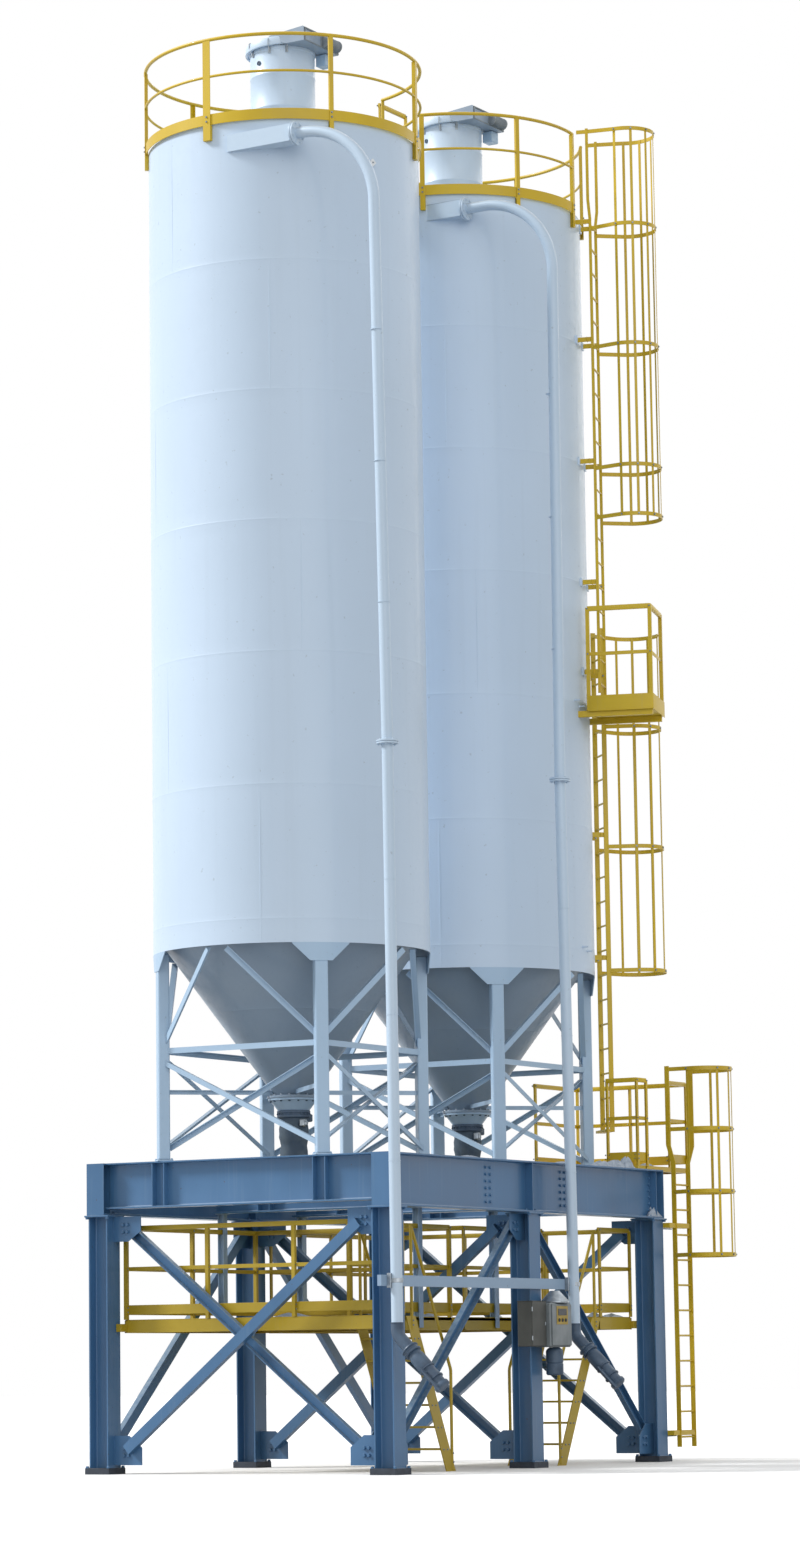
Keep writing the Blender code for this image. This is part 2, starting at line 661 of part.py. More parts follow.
def ladder(z0, z1, u, depth, hoops, bars, brackets, turn, splay=None, tail=0.0, half_top=False,
           cage=(CAGE_OUT, CAGE_R)):
    """A caged ladder that stands at x = u and is climbed on its +x side; brackets run to -x.

    bars lists where the cage's upright bars stand, in degrees. With half_top, the highest hoop
    and the bars on its open side stop short, so that the climber can step off sideways.
    """
    half = LADDER_HALF
    middle, radius = u + cage[0], cage[1]
    parts = []
    for s in (-1, 1):
        top = splay if splay else z1
        parts.append(box(u - depth, u + depth, s * half - 0.008, s * half + 0.008, z0, top))
        if splay:
            wide = half + SPLAY
            lean = [(s * half - 0.008, splay - 0.02), (s * half + 0.008, splay - 0.02),
                    (s * wide + 0.008, splay + 0.20), (s * wide - 0.008, splay + 0.20)]
            parts.append(prism(lean, along_x, u - depth + 0.004, u + depth - 0.004))
            parts.append(box(u - depth, u + depth, s * wide - 0.008, s * wide + 0.008,
                             splay + 0.18, z1))
    rungs = int(((splay or z1) - z0 - 0.16) / RUNG_STEP)
    for i in range(rungs + 1):
        z = z0 + 0.12 + i * RUNG_STEP
        parts.append(sweep([(u, -half, z), (u, half, z)], 0.014, 4))
    full = np.linspace(-CAGE_SPAN, CAGE_SPAN, 13)
    for i, z in enumerate(hoops):
        start = half + SPLAY if splay and z > splay + 0.1 else half
        turns = full[6:] if half_top and i == 0 else full
        parts.append(hoop(u, middle, radius, z, start, tail if i == 0 else 0.0, turns))
    for turn_at in bars:
        a = np.radians(turn_at)
        high = hoops[1] if half_top and turn_at < 0 else hoops[0]
        piece = box(-0.009, 0.009, -0.017, 0.017, hoops[-1] - 0.02, high + 0.02)
        parts += turned([piece], middle + radius * np.cos(a), radius * np.sin(a), turn_at)
    for z in brackets:
        for s in (-1, 1):
            v0, v1 = s * half - 0.018, s * half + 0.004
            parts.append(box(shell_face(turn, v0, v1), u, v0, v1, z - 0.03, z + 0.03))
    return parts


def shell_face(turn, v0, v1):
    """How far out from the silo's axis, along a radius at turn, something v0 to v1 aside may start."""
    corners = [np.radians(360.0 * k / SIDES - turn) for k in range(SIDES)]
    best = 0.0
    for k, a in enumerate(corners):
        b = a + 2 * np.pi / SIDES
        pa, pb = SILO_R * np.array([np.cos(a), np.sin(a)]), SILO_R * np.array([np.cos(b), np.sin(b)])
        if v0 <= pa[1] <= v1:
            best = max(best, pa[0])
        for v in (v0, v1):
            t = (v - pa[1]) / (pb[1] - pa[1]) if abs(pb[1] - pa[1]) > 1e-9 else -1
            if 0 <= t <= 1:
                best = max(best, pa[0] + t * (pb[0] - pa[0]))
    return float(best) + GAP


def fence(points, z0, tall, toe=True, close=False):
    """Posts at the points with a top rail, a middle rail and a toe board between them."""
    line = points + [points[0]] if close else points
    parts = []
    for px, py in points:
        parts.append(box(px - 0.022, px + 0.022, py - 0.022, py + 0.022, z0, z0 + tall - 0.01))
    parts.append(strip(line, z0 + tall - 0.045, z0 + tall, 0.040))
    parts.append(strip(line, z0 + tall * 0.52, z0 + tall * 0.52 + 0.045, 0.020))
    if toe:
        parts.append(strip(line, z0 + 0.055, z0 + 0.165, 0.010))
    return parts


def build_access():
    many = (-105.0, -70.0, -35.0, 0.0, 35.0, 70.0, 105.0)
    few = (-105.0, -35.0, 0.0, 35.0, 105.0)
    upper = ladder(UPPER_FOOT, 16.440, UPPER_R, 0.018, (16.400, 15.190, 13.670, 12.140, 11.520), many,
                   (15.285, 13.780, 12.240, 10.720, 9.600), UPPER_TURN, splay=15.330, tail=0.130)
    add("ladder_upper", turned(upper, SILO_X, 0, UPPER_TURN), "safety_paint", smooth=40)
    lower = ladder(4.000, 10.280, LOWER_R, 0.030, (10.240, 9.035, 7.530, 5.990), many,
                   (9.700, 7.680, 6.150), LOWER_TURN, half_top=True)
    add("ladder_lower", turned(lower, SILO_X, 0, LOWER_TURN), "safety_paint", smooth=40)

    # Rest platform: a box of rails open towards the shell and the lower ladder
    u0, u1, v0, v1 = SILO_R + 0.060, SILO_R + 0.893, -0.420, 0.410
    rest = [box(u0, u1, v0, v1, REST_TOP - 0.012, REST_TOP)]
    rest.append(strip([(u0 + 0.02, v1 - 0.01), (u0 + 0.02, v0 + 0.01), (u1 - 0.01, v0 + 0.01),
                       (u1 - 0.01, v1 - 0.01)], REST_TOP - 0.022, REST_TOP + 0.172, 0.010))
    rest += fence([(u0 + 0.03, v0 + 0.03), (u1 - 0.03, v0 + 0.03), (u1 - 0.03, v1 - 0.03)],
                  REST_TOP - 0.005, 1.290, toe=False)
    for v in (v0 + 0.06, 0.30):
        rest.append(box(shell_face(UPPER_TURN, v - 0.025, v + 0.025), u1 - 0.02, v - 0.025, v + 0.025,
                        REST_TOP - 0.085, REST_TOP - 0.006))
    add("rest_platform", turned(rest, SILO_X, 0, UPPER_TURN), "safety_paint")

    # Landing at the top of the stand
    z = GIRDER_TOP + GAP
    land = [box(3.225, 4.370, -1.800, -0.200, z, STAND_DECK),
            box(3.020, 3.300, -1.790, -1.340, z, STAND_DECK)]
    land += fence([(3.045, -1.36), (3.045, -1.77), (3.290, -1.77)], STAND_DECK - 0.005, 1.08)
    land += fence([(3.880, -1.77), (4.345, -1.77), (4.345, -0.98), (4.345, -0.225), (3.26, -0.225)],
                  STAND_DECK - 0.005, 1.08)
    add("stand_platform", land, "safety_paint")

    ground = ladder(0.170, 4.780, 0.0, 0.030, (4.740, 4.006, 3.246, 2.479), few, (), 0.0, splay=3.620,
                    cage=(0.360, 0.330))
    flank = COL_X + COL_W / 2 + GAP - GROUND_X
    hook = [box(-0.105, 0.02, flank, 0.210, z - 0.03, z + 0.03) for z in (0.340, 2.840)]
    add("ladder_ground", turned(ground + hook, GROUND_X, GROUND_Y, -90.0), "safety_paint", smooth=40)


def deck(sign):
    """One working deck with rails, open at its stair; sign is -1 on the left, 1 on the right."""
    x0, x1 = (0.130, 2.910)
    gate = 2.400 if sign < 0 else 2.070
    back = 1.750
    parts = [box(x0, x1, -1.000, back, DECK_TOP - 0.040, DECK_TOP),
             box(gate + 0.020, x1, -1.720, -0.990, DECK_TOP - 0.040, DECK_TOP)]
    edge = [(x0 + 0.03, -0.97), (x0 + 0.03, back - 0.03), (x1 - 0.03, back - 0.03),
            (x1 - 0.03, -1.71), (gate + 0.03, -1.71)]
    parts.append(strip(edge, DECK_LOW, DECK_TOP - 0.01, 0.030))
    parts.append(strip([(x0 + 0.03, -0.97), (gate + 0.03, -0.97), (gate + 0.03, -1.71)],
                       DECK_LOW, DECK_TOP - 0.01, 0.030))
    mid_x = (x0 + x1) / 2
    posts = [(gate - 0.03, -0.97), (mid_x, -0.97), (x0 + 0.03, -0.97), (x0 + 0.03, 0.39),
             (x0 + 0.03, back - 0.03), (mid_x, back - 0.03), (x1 - 0.03, back - 0.03),
             (x1 - 0.03, 0.60), (x1 - 0.03, -0.56), (x1 - 0.03, -1.71), (gate + 0.05, -1.71)]
    parts += fence(posts, DECK_TOP - 0.005, RAIL_UP)
    for y0, y1 in ((-1.770 + GAP, -1.700), (1.700, 1.770 - GAP)):
        parts.append(box(x1 - 0.05, x1 + 0.11, y0, y1, 1.600, 1.690))
    hang = SILO_X - LEG_X
    for y in (-0.975, back - 0.030):
        parts.append(box(hang - 0.045, hang + 0.045, y - 0.040, y + 0.040, 1.610, CROSS_LOW - GAP))
    if sign < 0:
        parts = [([(-px, py, pz) for px, py, pz in pts], [f[::-1] for f in faces])
                 for pts, faces in parts]
    return parts


def stair(x_top, x_low, y0, y1):
    """A steep stair with flat stringers, treads and one handrail each side."""
    parts = []
    side = 1 if x_low > x_top else -1
    tall = DECK_TOP - 0.01
    half = 0.10
    for y in (y0, y1):
        outline = [(x_low - half, 0), (x_low + half, 0), (x_top + half, tall), (x_top - half, tall)]
        parts.append(prism(outline, along_y, y - 0.006, y + 0.006))
        lo = (x_low + side * 0.03, y, 1.13)
        hi = (x_top + side * 0.03, y, 2.74)
        parts.append(bar(lo, hi, 0.036, 0.036))
        parts.append(box(x_low + side * 0.03 - 0.02, x_low + side * 0.03 + 0.02, y - 0.016, y + 0.016,
                         0.02, 1.14))
        parts.append(box(x_top + side * 0.03 - 0.02, x_top + side * 0.03 + 0.02, y - 0.016, y + 0.016,
                         tall - 0.15, 2.75))
    steps = 7
    for i in range(1, steps):
        t = i / steps
        x = x_low + (x_top - x_low) * t
        parts.append(box(x - 0.085, x + 0.085, y0, y1, tall * t - 0.012, tall * t + 0.012))
    return parts


def build_decks():
    add("deck_left", deck(-1), "safety_paint")
    add("deck_right", deck(1), "safety_paint")
    add("stair_left", stair(-2.3147, -1.480, -1.730, -1.060), "safety_paint")
    add("stair_right", stair(1.9847, 1.080, -1.730, -1.060), "safety_paint")


def build_front():
    left = fill_pipe(-SILO_X, SILO_R - 0.095, PIPE_Y, 15.126, 0.36751, -0.250, -3.330, -3.290)
    right = fill_pipe(SILO_X, SILO_R - 0.190, PIPE_Y - 0.055, 15.156, 0.09636, -0.420, 0.600, 0.700)
    add("fill_pipe_left", left, "pipe_paint", smooth=40)
    add("fill_pipe_right", right, "pipe_paint", smooth=40)
    face = -(COL_Y + COL_D / 2) - GAP
    beam = [box(-3.500, 0.820, face - 0.050, face, 2.040, 2.160)]
    add("pipe_beam", beam, "pipe_paint")
    control = [box(-0.44, -0.10, face - 0.20, face, 1.380, 1.900),
               box(-0.11, 0.38, face - 0.28, face - 0.02, 1.370, 1.880),
               box(-0.10, 0.10, face - 0.10, face, 1.450, 1.800)]
    control.append(lathe(0.15, face - 0.15, [(0, 1.05), (0.10, 1.05), (0.10, 1.40), (0, 1.40)], 20))
    control.append(lathe(0.17, face - 0.156, [(0, 1.86), (0.15, 1.88), (0.15, 1.90), (0.05, 2.02),
                                              (0, 2.02)], 24))
    add("control_box", control, "cabinet_grey")
    reach = SILO_X - SILO_R - BRIDGE_CLEAR
    bridge = [box(-reach, reach, -0.340, 0.340, 15.400, 15.430)]
    for y in (-0.32, 0.32):
        bridge += fence([(0.04 - reach, y), (reach - 0.04, y)], 15.425, 0.97, toe=False)
    add("roof_bridge", bridge, "safety_paint")


def stand_centred():
    """Moves every object so that the whole box stands centred on the origin."""
    low = np.full(3, 1e9)
    high = -low
    for obj in bpy.data.objects:
        pts = np.empty(len(obj.data.vertices) * 3)
        obj.data.vertices.foreach_get("co", pts)
        pts = pts.reshape(-1, 3)
        low = np.minimum(low, pts.min(axis=0))
        high = np.maximum(high, pts.max(axis=0))
    mid = (low + high) / 2
    shift = Matrix.Translation((-mid[0], -mid[1], -low[2]))
    for obj in bpy.data.objects:
        obj.data.transform(shift)
    print("shift", [round(float(v), 4) for v in (-mid[0], -mid[1], -low[2])])


clear_scene()
build_stand()
build_silo("left", -SILO_X, LEFT_POSTS, [(-15.0, 15.0)], None)
build_silo("right", SILO_X, RIGHT_POSTS, [(-82.5, -60.0), (165.0, 195.0)], (-60.0, 277.5))
build_access()
build_decks()
build_front()
stand_centred()
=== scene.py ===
# %% [markdown]
# # Two cement silos on one steel stand
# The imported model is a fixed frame: its solids have the right size and place, and plain faces.
# This file is the paint shop and the fitting bench. It loads the frame, makes the rolled, turned
# and bolted forms as fine surfaces where the plain solids are too coarse, and finishes each
# surface as the real paint, zinc or rubber is finished.

import bmesh
import bpy
import numpy as np
from mathutils import Matrix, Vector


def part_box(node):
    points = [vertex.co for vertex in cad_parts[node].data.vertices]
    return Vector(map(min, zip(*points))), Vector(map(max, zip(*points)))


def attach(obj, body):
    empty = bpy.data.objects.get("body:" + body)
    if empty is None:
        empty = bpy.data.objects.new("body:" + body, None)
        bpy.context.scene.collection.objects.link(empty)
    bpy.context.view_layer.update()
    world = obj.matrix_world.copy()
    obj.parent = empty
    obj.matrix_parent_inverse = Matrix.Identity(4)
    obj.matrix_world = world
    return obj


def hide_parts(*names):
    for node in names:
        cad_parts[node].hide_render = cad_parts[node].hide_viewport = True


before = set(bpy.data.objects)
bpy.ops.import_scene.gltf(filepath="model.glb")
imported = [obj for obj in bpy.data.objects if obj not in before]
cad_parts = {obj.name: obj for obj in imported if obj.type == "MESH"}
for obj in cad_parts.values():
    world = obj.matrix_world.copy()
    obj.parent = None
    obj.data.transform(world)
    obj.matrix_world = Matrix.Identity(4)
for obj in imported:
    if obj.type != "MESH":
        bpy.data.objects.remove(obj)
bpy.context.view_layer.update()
print("nodes in the frame:", len(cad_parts))

# %% [markdown]
# ## Places
# The stand was drawn about its own middle, and then the whole plant was centred on its box. Two
# shells say where that middle went, so every place below can be written in the stand's own
# metres, with X along the row, Y from the front to the back, and Z up. `GAP` is the hair's breadth
# that keeps two touching pieces from sharing a face.

# %% Places in the stand's own metres
left_low, left_high = (np.array(v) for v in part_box("shell_left"))
right_low, right_high = (np.array(v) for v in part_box("shell_right"))
middle = ((left_low + left_high) / 2 + (right_low + right_high) / 2) / 2
ORIGIN = np.array([middle[0], middle[1], 0.0])
SILO_X = (right_low[0] + right_high[0] - left_low[0] - left_high[0]) / 4
SILO_R = (left_high[0] - left_low[0]) / 2
SHELL_LOW, SHELL_TOP = left_low[2], left_high[2]
SILOS = {"left": -SILO_X, "right": SILO_X}
GAP = 0.0003
print("stand middle", ORIGIN.round(4), "silo radius", round(SILO_R, 3))


# %% [markdown]
# ## Shapes from arrays
# A shape here is a pair: an array of points, and a list of faces that name them. Every maker
# below works out whole arrays at once. `grid` turns a table of points into quads, and the other
# makers are grids with a formula: turned profiles, tubes, rolled sections and plates.

# %% Grids, turned forms and tubes
def grid(points, wrap_u=False, wrap_v=False):
    """Quads over a table of points: row i and column k join to row i+1 and column k+1."""
    points = np.asarray(points, float)
    rows, cols = points.shape[:2]
    i = np.arange(rows if wrap_u else rows - 1)[:, None]
    k = np.arange(cols if wrap_v else cols - 1)[None, :]
    i2, k2 = (i + 1) % rows, (k + 1) % cols
    quads = np.stack([i * cols + k, i * cols + k2, i2 * cols + k2, i2 * cols + k], axis=-1)
    return points.reshape(-1, 3), [quads.reshape(-1, 4)]


def capped(table):
    """Rings of points joined into a skin, with a flat face over the first ring and the last."""
    points, faces = grid(table, wrap_v=True)
    rows, n = np.shape(table)[:2]
    return points, faces + [np.arange(n)[None, ::-1], (rows - 1) * n + np.arange(n)[None, :]]


def ring_angles(sides, start=0.0):
    return start + np.linspace(0, 2 * np.pi, sides, endpoint=False)


def ring_table(profile, sides, centre=(0.0, 0.0)):
    """A ring of points for each (radius, height) of a profile: x = r cos a, y = r sin a."""
    profile = np.asarray(profile, float)
    a = ring_angles(sides)
    r, z = profile[:, :1], profile[:, 1:]
    return np.stack([centre[0] + r * np.cos(a), centre[1] + r * np.sin(a), z + 0 * a], axis=-1)


def turned(profile, sides=64, centre=(0.0, 0.0)):
    """A closed profile of (radius, height) turned about an upright line."""
    return grid(ring_table(profile, sides, centre), wrap_u=True, wrap_v=True)


def turned_solid(profile, sides=64, centre=(0.0, 0.0)):
    """A profile that starts and ends on the axis, turned about it: rings between two poles."""
    points, faces = grid(ring_table(profile[1:-1], sides, centre), wrap_v=True)
    n, k = len(points), np.arange(sides)
    base = n - sides
    low = np.stack([np.full(sides, n), (k + 1) % sides, k], axis=-1)
    high = np.stack([np.full(sides, n + 1), base + k, base + (k + 1) % sides], axis=-1)
    poles = [(*centre, profile[0][1]), (*centre, profile[-1][1])]
    return np.vstack([points, poles]), faces + [low, high]


def frames_along(path, hint=(0.0, 0.0, 1.0)):
    """Unit tangent, side and up at each point of a path; up stays as near the hint as it can."""
    path = np.asarray(path, float)
    run = np.gradient(path, axis=0)
    run /= np.linalg.norm(run, axis=1)[:, None]
    side = np.cross(run, np.asarray(hint, float))
    side /= np.linalg.norm(side, axis=1)[:, None]
    return run, side, np.cross(side, run)


def tube(path, radius, sides=16, hint=(0.0, 0.0, 1.0)):
    """A round bar along a path: centre + radius (cos a side + sin a up), closed by a flat end."""
    path = np.asarray(path, float)
    _, side, up = frames_along(path, hint)
    radius = np.broadcast_to(radius, (len(path),))[:, None, None]
    a = ring_angles(sides)[None, :, None]
    return capped(path[:, None] + radius * (np.cos(a) * side[:, None] + np.sin(a) * up[:, None]))


def swept(outline, path, hint=(0.0, 0.0, 1.0), closed=False):
    """A closed outline of (aside, up) carried along a path, with flat ends unless it closes."""
    outline = np.asarray(outline, float)
    path = np.asarray(path, float)
    if closed:
        around = np.vstack([path[-1:], path, path[:1]])
        _, side, up = frames_along(around, hint)
        side, up = side[1:-1], up[1:-1]
    else:
        _, side, up = frames_along(path, hint)
    table = path[:, None] + outline[None, :, :1] * side[:, None] + outline[None, :, 1:] * up[:, None]
    return grid(table, wrap_u=True, wrap_v=True) if closed else capped(table)


def straight(outline, start, end, hint=(0.0, 0.0, 1.0)):
    """A closed outline carried in one straight run from start to end."""
    return swept(outline, [start, end], hint)


# %% Outlines of plates and rolled sections
def rounded_outline(wide, high, r, steps=2):
    """A rectangle with corners rounded to r, as (across, up) points in order."""
    a, b = wide / 2 - r, high / 2 - r
    turn = np.linspace(0, np.pi / 2, steps + 1)
    corners = [(a, b, 0), (-a, b, 1), (-a, -b, 2), (a, -b, 3)]
    out = []
    for x, y, k in corners:
        t = turn + k * np.pi / 2
        out.append(np.stack([x + r * np.cos(t), y + r * np.sin(t)], axis=-1))
    return np.vstack(out)


def at_height(line, z):
    """Points of (x, y) that all get the height z."""
    return np.insert(np.asarray(line, float), 2, z, axis=1)


def block(x0, x1, y0, y1, z0, z1, edge=0.003):
    """A box with its upright edges rounded and its top and bottom edges chamfered."""
    edge = min(edge, 0.3 * min(x1 - x0, y1 - y0, z1 - z0))
    inner = rounded_outline(x1 - x0 - 2 * edge, y1 - y0 - 2 * edge, edge * 0.4, 1)
    outer = rounded_outline(x1 - x0, y1 - y0, edge, 1)
    mid = np.array([(x0 + x1) / 2, (y0 + y1) / 2])
    rings = [(inner, z0), (outer, z0 + edge), (outer, z1 - edge), (inner, z1)]
    return capped([at_height(outline + mid, z) for outline, z in rings])


def cut_plate(corners, low, high, axis):
    """A flat plate: its outline in the other two axes, carried from low to high along this axis."""
    return capped([np.insert(np.asarray(corners, float), axis, v, axis=1) for v in (low, high)])


def rolled_h(depth, wide, web, flange, root, steps=4):
    """A rolled H section: flanges across at +-depth/2, a web between, and root fillets."""
    half_w, half_d, half_t = wide / 2, depth / 2, web / 2
    under = half_d - flange
    turn = np.linspace(0, np.pi / 2, steps + 1)
    fillet = np.stack([half_t + root * (1 - np.cos(turn)), under - root * (1 - np.sin(turn))], axis=-1)
    tip = np.array([(half_w - 0.002, under), (half_w, under + 0.002), (half_w, half_d - 0.002),
                    (half_w - 0.002, half_d)])
    quarter = np.vstack([fillet, tip])
    right = np.vstack([quarter[::-1] * (1, -1), quarter])
    return np.vstack([right, right[::-1] * (-1, 1)])


# %% Joining shapes and putting them in the scene
def facing(degrees):
    """The level unit vector that looks this many degrees round from X."""
    return np.array([np.cos(np.radians(degrees)), np.sin(np.radians(degrees)), 0.0])


def moved(shape, x=0.0, y=0.0, z=0.0):
    return shape[0] + np.array([x, y, z]), shape[1]


def spun(shape, degrees):
    """The shape turned about the upright line through its origin."""
    c, s = np.cos(np.radians(degrees)), np.sin(np.radians(degrees))
    x, y, z = shape[0].T
    return np.column_stack([c * x - s * y, s * x + c * y, z]), shape[1]


def placed(shape, degrees, x, y=0.0):
    """The shape turned first and then moved."""
    return moved(spun(shape, degrees), x, y)


def joined(shapes):
    """Many shapes as one: their points end to end, and each face's numbers moved on to match."""
    points, faces, base = [], [], 0
    for p, f in shapes:
        points.append(p)
        faces += [part + base for part in f]
        base += len(p)
    return np.vstack(points), faces


def copies(shape, places, axes=None):
    """One small shape set at many places at once; axes turns its Z onto each given direction."""
    p, f = shape
    places = np.asarray(places, float).reshape(-1, 3)
    if axes is None:
        axes = np.tile([0.0, 0.0, 1.0], (len(places), 1))
    axes = np.broadcast_to(np.asarray(axes, float), places.shape)
    hint = np.where(np.abs(axes[:, 2:]) > 0.9, [[1.0, 0.0, 0.0]], [[0.0, 0.0, 1.0]])
    a = np.cross(hint, axes)
    a /= np.linalg.norm(a, axis=1)[:, None]
    b = np.cross(axes, a)
    table = places[:, None] + p[None, :, :1] * a[:, None] + p[None, :, 1:2] * b[:, None] \
        + p[None, :, 2:] * axes[:, None]
    step = (np.arange(len(places)) * len(p))[:, None, None]
    faces = [(part[None] + step).reshape(-1, part.shape[1]) for part in f]
    return table.reshape(-1, 3), faces


def outward(mesh):
    """Turns every closed shell of the mesh so that its faces look outwards."""
    work = bmesh.new()
    work.from_mesh(mesh)
    bmesh.ops.recalc_face_normals(work, faces=work.faces)
    work.to_mesh(mesh)
    work.free()


def put(name, shape, material, replaces=(), slot=None, smooth=35.0):
    """The shape as one object in the row frame, riding on the root body. Its paint slot comes from
    SLOT_OF unless the piece names another, and is worked out but not kept on the object."""
    slot = slot or SLOT_OF[material.name]
    points, faces = shape
    mesh = bpy.data.meshes.new(name)
    listed = [tuple(face) for part in faces for face in part.tolist()]
    mesh.from_pydata((points + ORIGIN).tolist(), [], listed)
    outward(mesh)
    mesh.shade_smooth()
    mesh.set_sharp_from_angle(angle=np.radians(smooth))
    mesh.materials.append(material)
    obj = bpy.data.objects.new(name, mesh)
    bpy.context.scene.collection.objects.link(obj)
    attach(obj, "root")
    if replaces:
        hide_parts(*replaces)
    print(name, len(points), "points")
    return obj


# %% [markdown]
# ## Paints, metals and other finishes
# Each finish starts from the real one: what it is made of, how it was put on, and what the
# weather and the cement did to it since. Colours are written as the eye reads them, and one
# function turns them to the linear values that light is worked out in. Patterns are sized from
# real millimetres, in the object's own metres.

# %% Colour and node helpers
def linear(code):
    """An sRGB hex colour as linear red, green, blue and alpha."""
    values = np.array([int(code[i:i + 2], 16) for i in (1, 3, 5)]) / 255
    low, high = values / 12.92, ((values + 0.055) / 1.055) ** 2.4
    return (*np.where(values <= 0.04045, low, high).tolist(), 1.0)


def add_node(tree_of, kind, inputs=(), out=0, **settings):
    """Adds one node and gives back one output socket. Settings are the node's own choices; inputs
    are values or other nodes' sockets, in the node's order or under their names and numbers."""
    new = tree_of.node_tree.nodes.new("ShaderNode" + kind)
    for key, value in settings.items():
        setattr(new, key, value)
    for key, value in inputs.items() if isinstance(inputs, dict) else enumerate(inputs):
        if isinstance(value, bpy.types.NodeSocket):
            tree_of.node_tree.links.new(value, new.inputs[key])
        else:
            new.inputs[key].default_value = value
    return new.outputs[out]


def start_material(name, **values):
    """A new material, the inputs of its Principled shader, and the sockets that give places on it."""
    material = bpy.data.materials.new(name)
    material.use_nodes = True
    shader = material.node_tree.nodes["Principled BSDF"].inputs
    for key, value in values.items():
        shader[key.replace("_", " ").title()].default_value = value
    return material, shader, add_node(material, "TexCoord").node.outputs


def noise_at(material, place, mm, stretch=(1.0, 1.0, 1.0), detail=3.0):
    """Cloudy noise whose blotches are about mm across; stretch draws them out along an axis."""
    spread = add_node(material, "Mapping", {"Vector": place["Object"],
                                            "Scale": tuple(1.0 / s for s in stretch)})
    return add_node(material, "TexNoise", {"Vector": spread, "Scale": 500.0 / mm, "Detail": detail})


def paint_layers(material, shader, colour, layers):
    """Lays each colour over the ones before it, where and as far as its share says."""
    colour = linear(colour)
    for share, over in layers:
        colour = add_node(material, "Mix", {0: share, 6: colour, 7: linear(over)}, 2, data_type="RGBA")
    material.node_tree.links.new(colour, shader["Base Color"])


def relief(material, shader, heights):
    """Bumps one on another, each a height from 0 to 1 with its depth in millimetres."""
    normal = {}
    for height, mm in heights:
        inputs = {"Height": height, "Distance": mm / 1000, "Strength": 1.0, **normal}
        normal = {"Normal": add_node(material, "Bump", inputs)}
    material.node_tree.links.new(normal["Normal"], shader["Normal"])


def settled(material, place, patches, strength=None):
    """Dust as thick as the patches say, on whatever looks up, and none where it stands or hangs."""
    up = add_node(material, "SeparateXYZ", [place["Normal"]], "Z")
    level = add_node(material, "MapRange", [up, 0.35, 0.85])
    cover = add_node(material, "Math", [level, patches], operation="MULTIPLY")
    if strength is None:
        return cover
    return add_node(material, "Math", [cover, strength], operation="MULTIPLY")


def paint_run(material, place, mm_wide, reach, strength):
    """Thin runs that fall down a wall: noise drawn out along Z, cut to its peaks."""
    streak = noise_at(material, place, mm_wide, (1.0, 1.0, 26.0), 2.0)
    peaks = add_node(material, "MapRange", [streak, reach, reach + 0.16])
    return add_node(material, "Math", [peaks, strength], operation="MULTIPLY")


# %% [markdown]
# ### Silo enamel
# The shells are rolled steel plate, blasted and sprayed with a two-part enamel. The enamel is white,
# and the cool blue cast in its colour is painted light: the blue of shade lit by the sky. It has the
# faint pebble of sprayed paint, the plate under it is never quite flat, and rain draws thin dust runs
# down from each seam and from the roof's edge.

# %% Silo enamel
def make_enamel(name, colour, dust, low_dust, rough):
    material, shader, place = start_material(name, metallic=0.0, roughness=rough, coat_weight=0.15)
    clouds = noise_at(material, place, 900, (1.0, 1.0, 1.6))
    grime = noise_at(material, place, 26, detail=4.0)
    patches = add_node(material, "MapRange", [clouds, 0.25, 0.7, 0.35, 0.8])
    paint_layers(material, shader, colour, [
        (add_node(material, "MapRange", [clouds, 0.3, 0.75, 0.0, 0.22]), dust),
        (paint_run(material, place, 55, 0.55, 0.07), dust),
        (add_node(material, "MapRange", [grime, 0.69, 0.75, 0.0, 0.45]), low_dust),
        (settled(material, place, patches), low_dust)])
    wear = add_node(material, "MapRange", [grime, 0.3, 0.75, rough - 0.06, rough + 0.14])
    material.node_tree.links.new(wear, shader["Roughness"])
    relief(material, shader, [(noise_at(material, place, 700, (1.0, 1.0, 1.4), 1.0), 5.0),
                              (noise_at(material, place, 6, detail=1.0), 0.12)])
    return material


# White enamel whose cool blue cast is painted light, the blue of sky-lit shade.
SILO_ENAMEL = make_enamel("sprayed_enamel_on_plate", "#C3D6EA", "#A9BAC9", "#98A5AF", 0.40)
# The shell's enamel made darker for the cones: painted shade for the downward-facing hoppers.
SHADED_HOPPER_ENAMEL = make_enamel("cone_enamel_in_painted_shade", "#8598AB", "#75869A", "#6E7A86", 0.48)
LEG_ENAMEL = make_enamel("sprayed_enamel_on_angle", "#A6C1DA", "#8BA2B6", "#8795A1", 0.45)
PIPE_ENAMEL = make_enamel("sprayed_enamel_on_pipe", "#BDD1E4", "#A3B4C3", "#95A1AB", 0.36)
print("enamels:", SILO_ENAMEL.name, SHADED_HOPPER_ENAMEL.name)
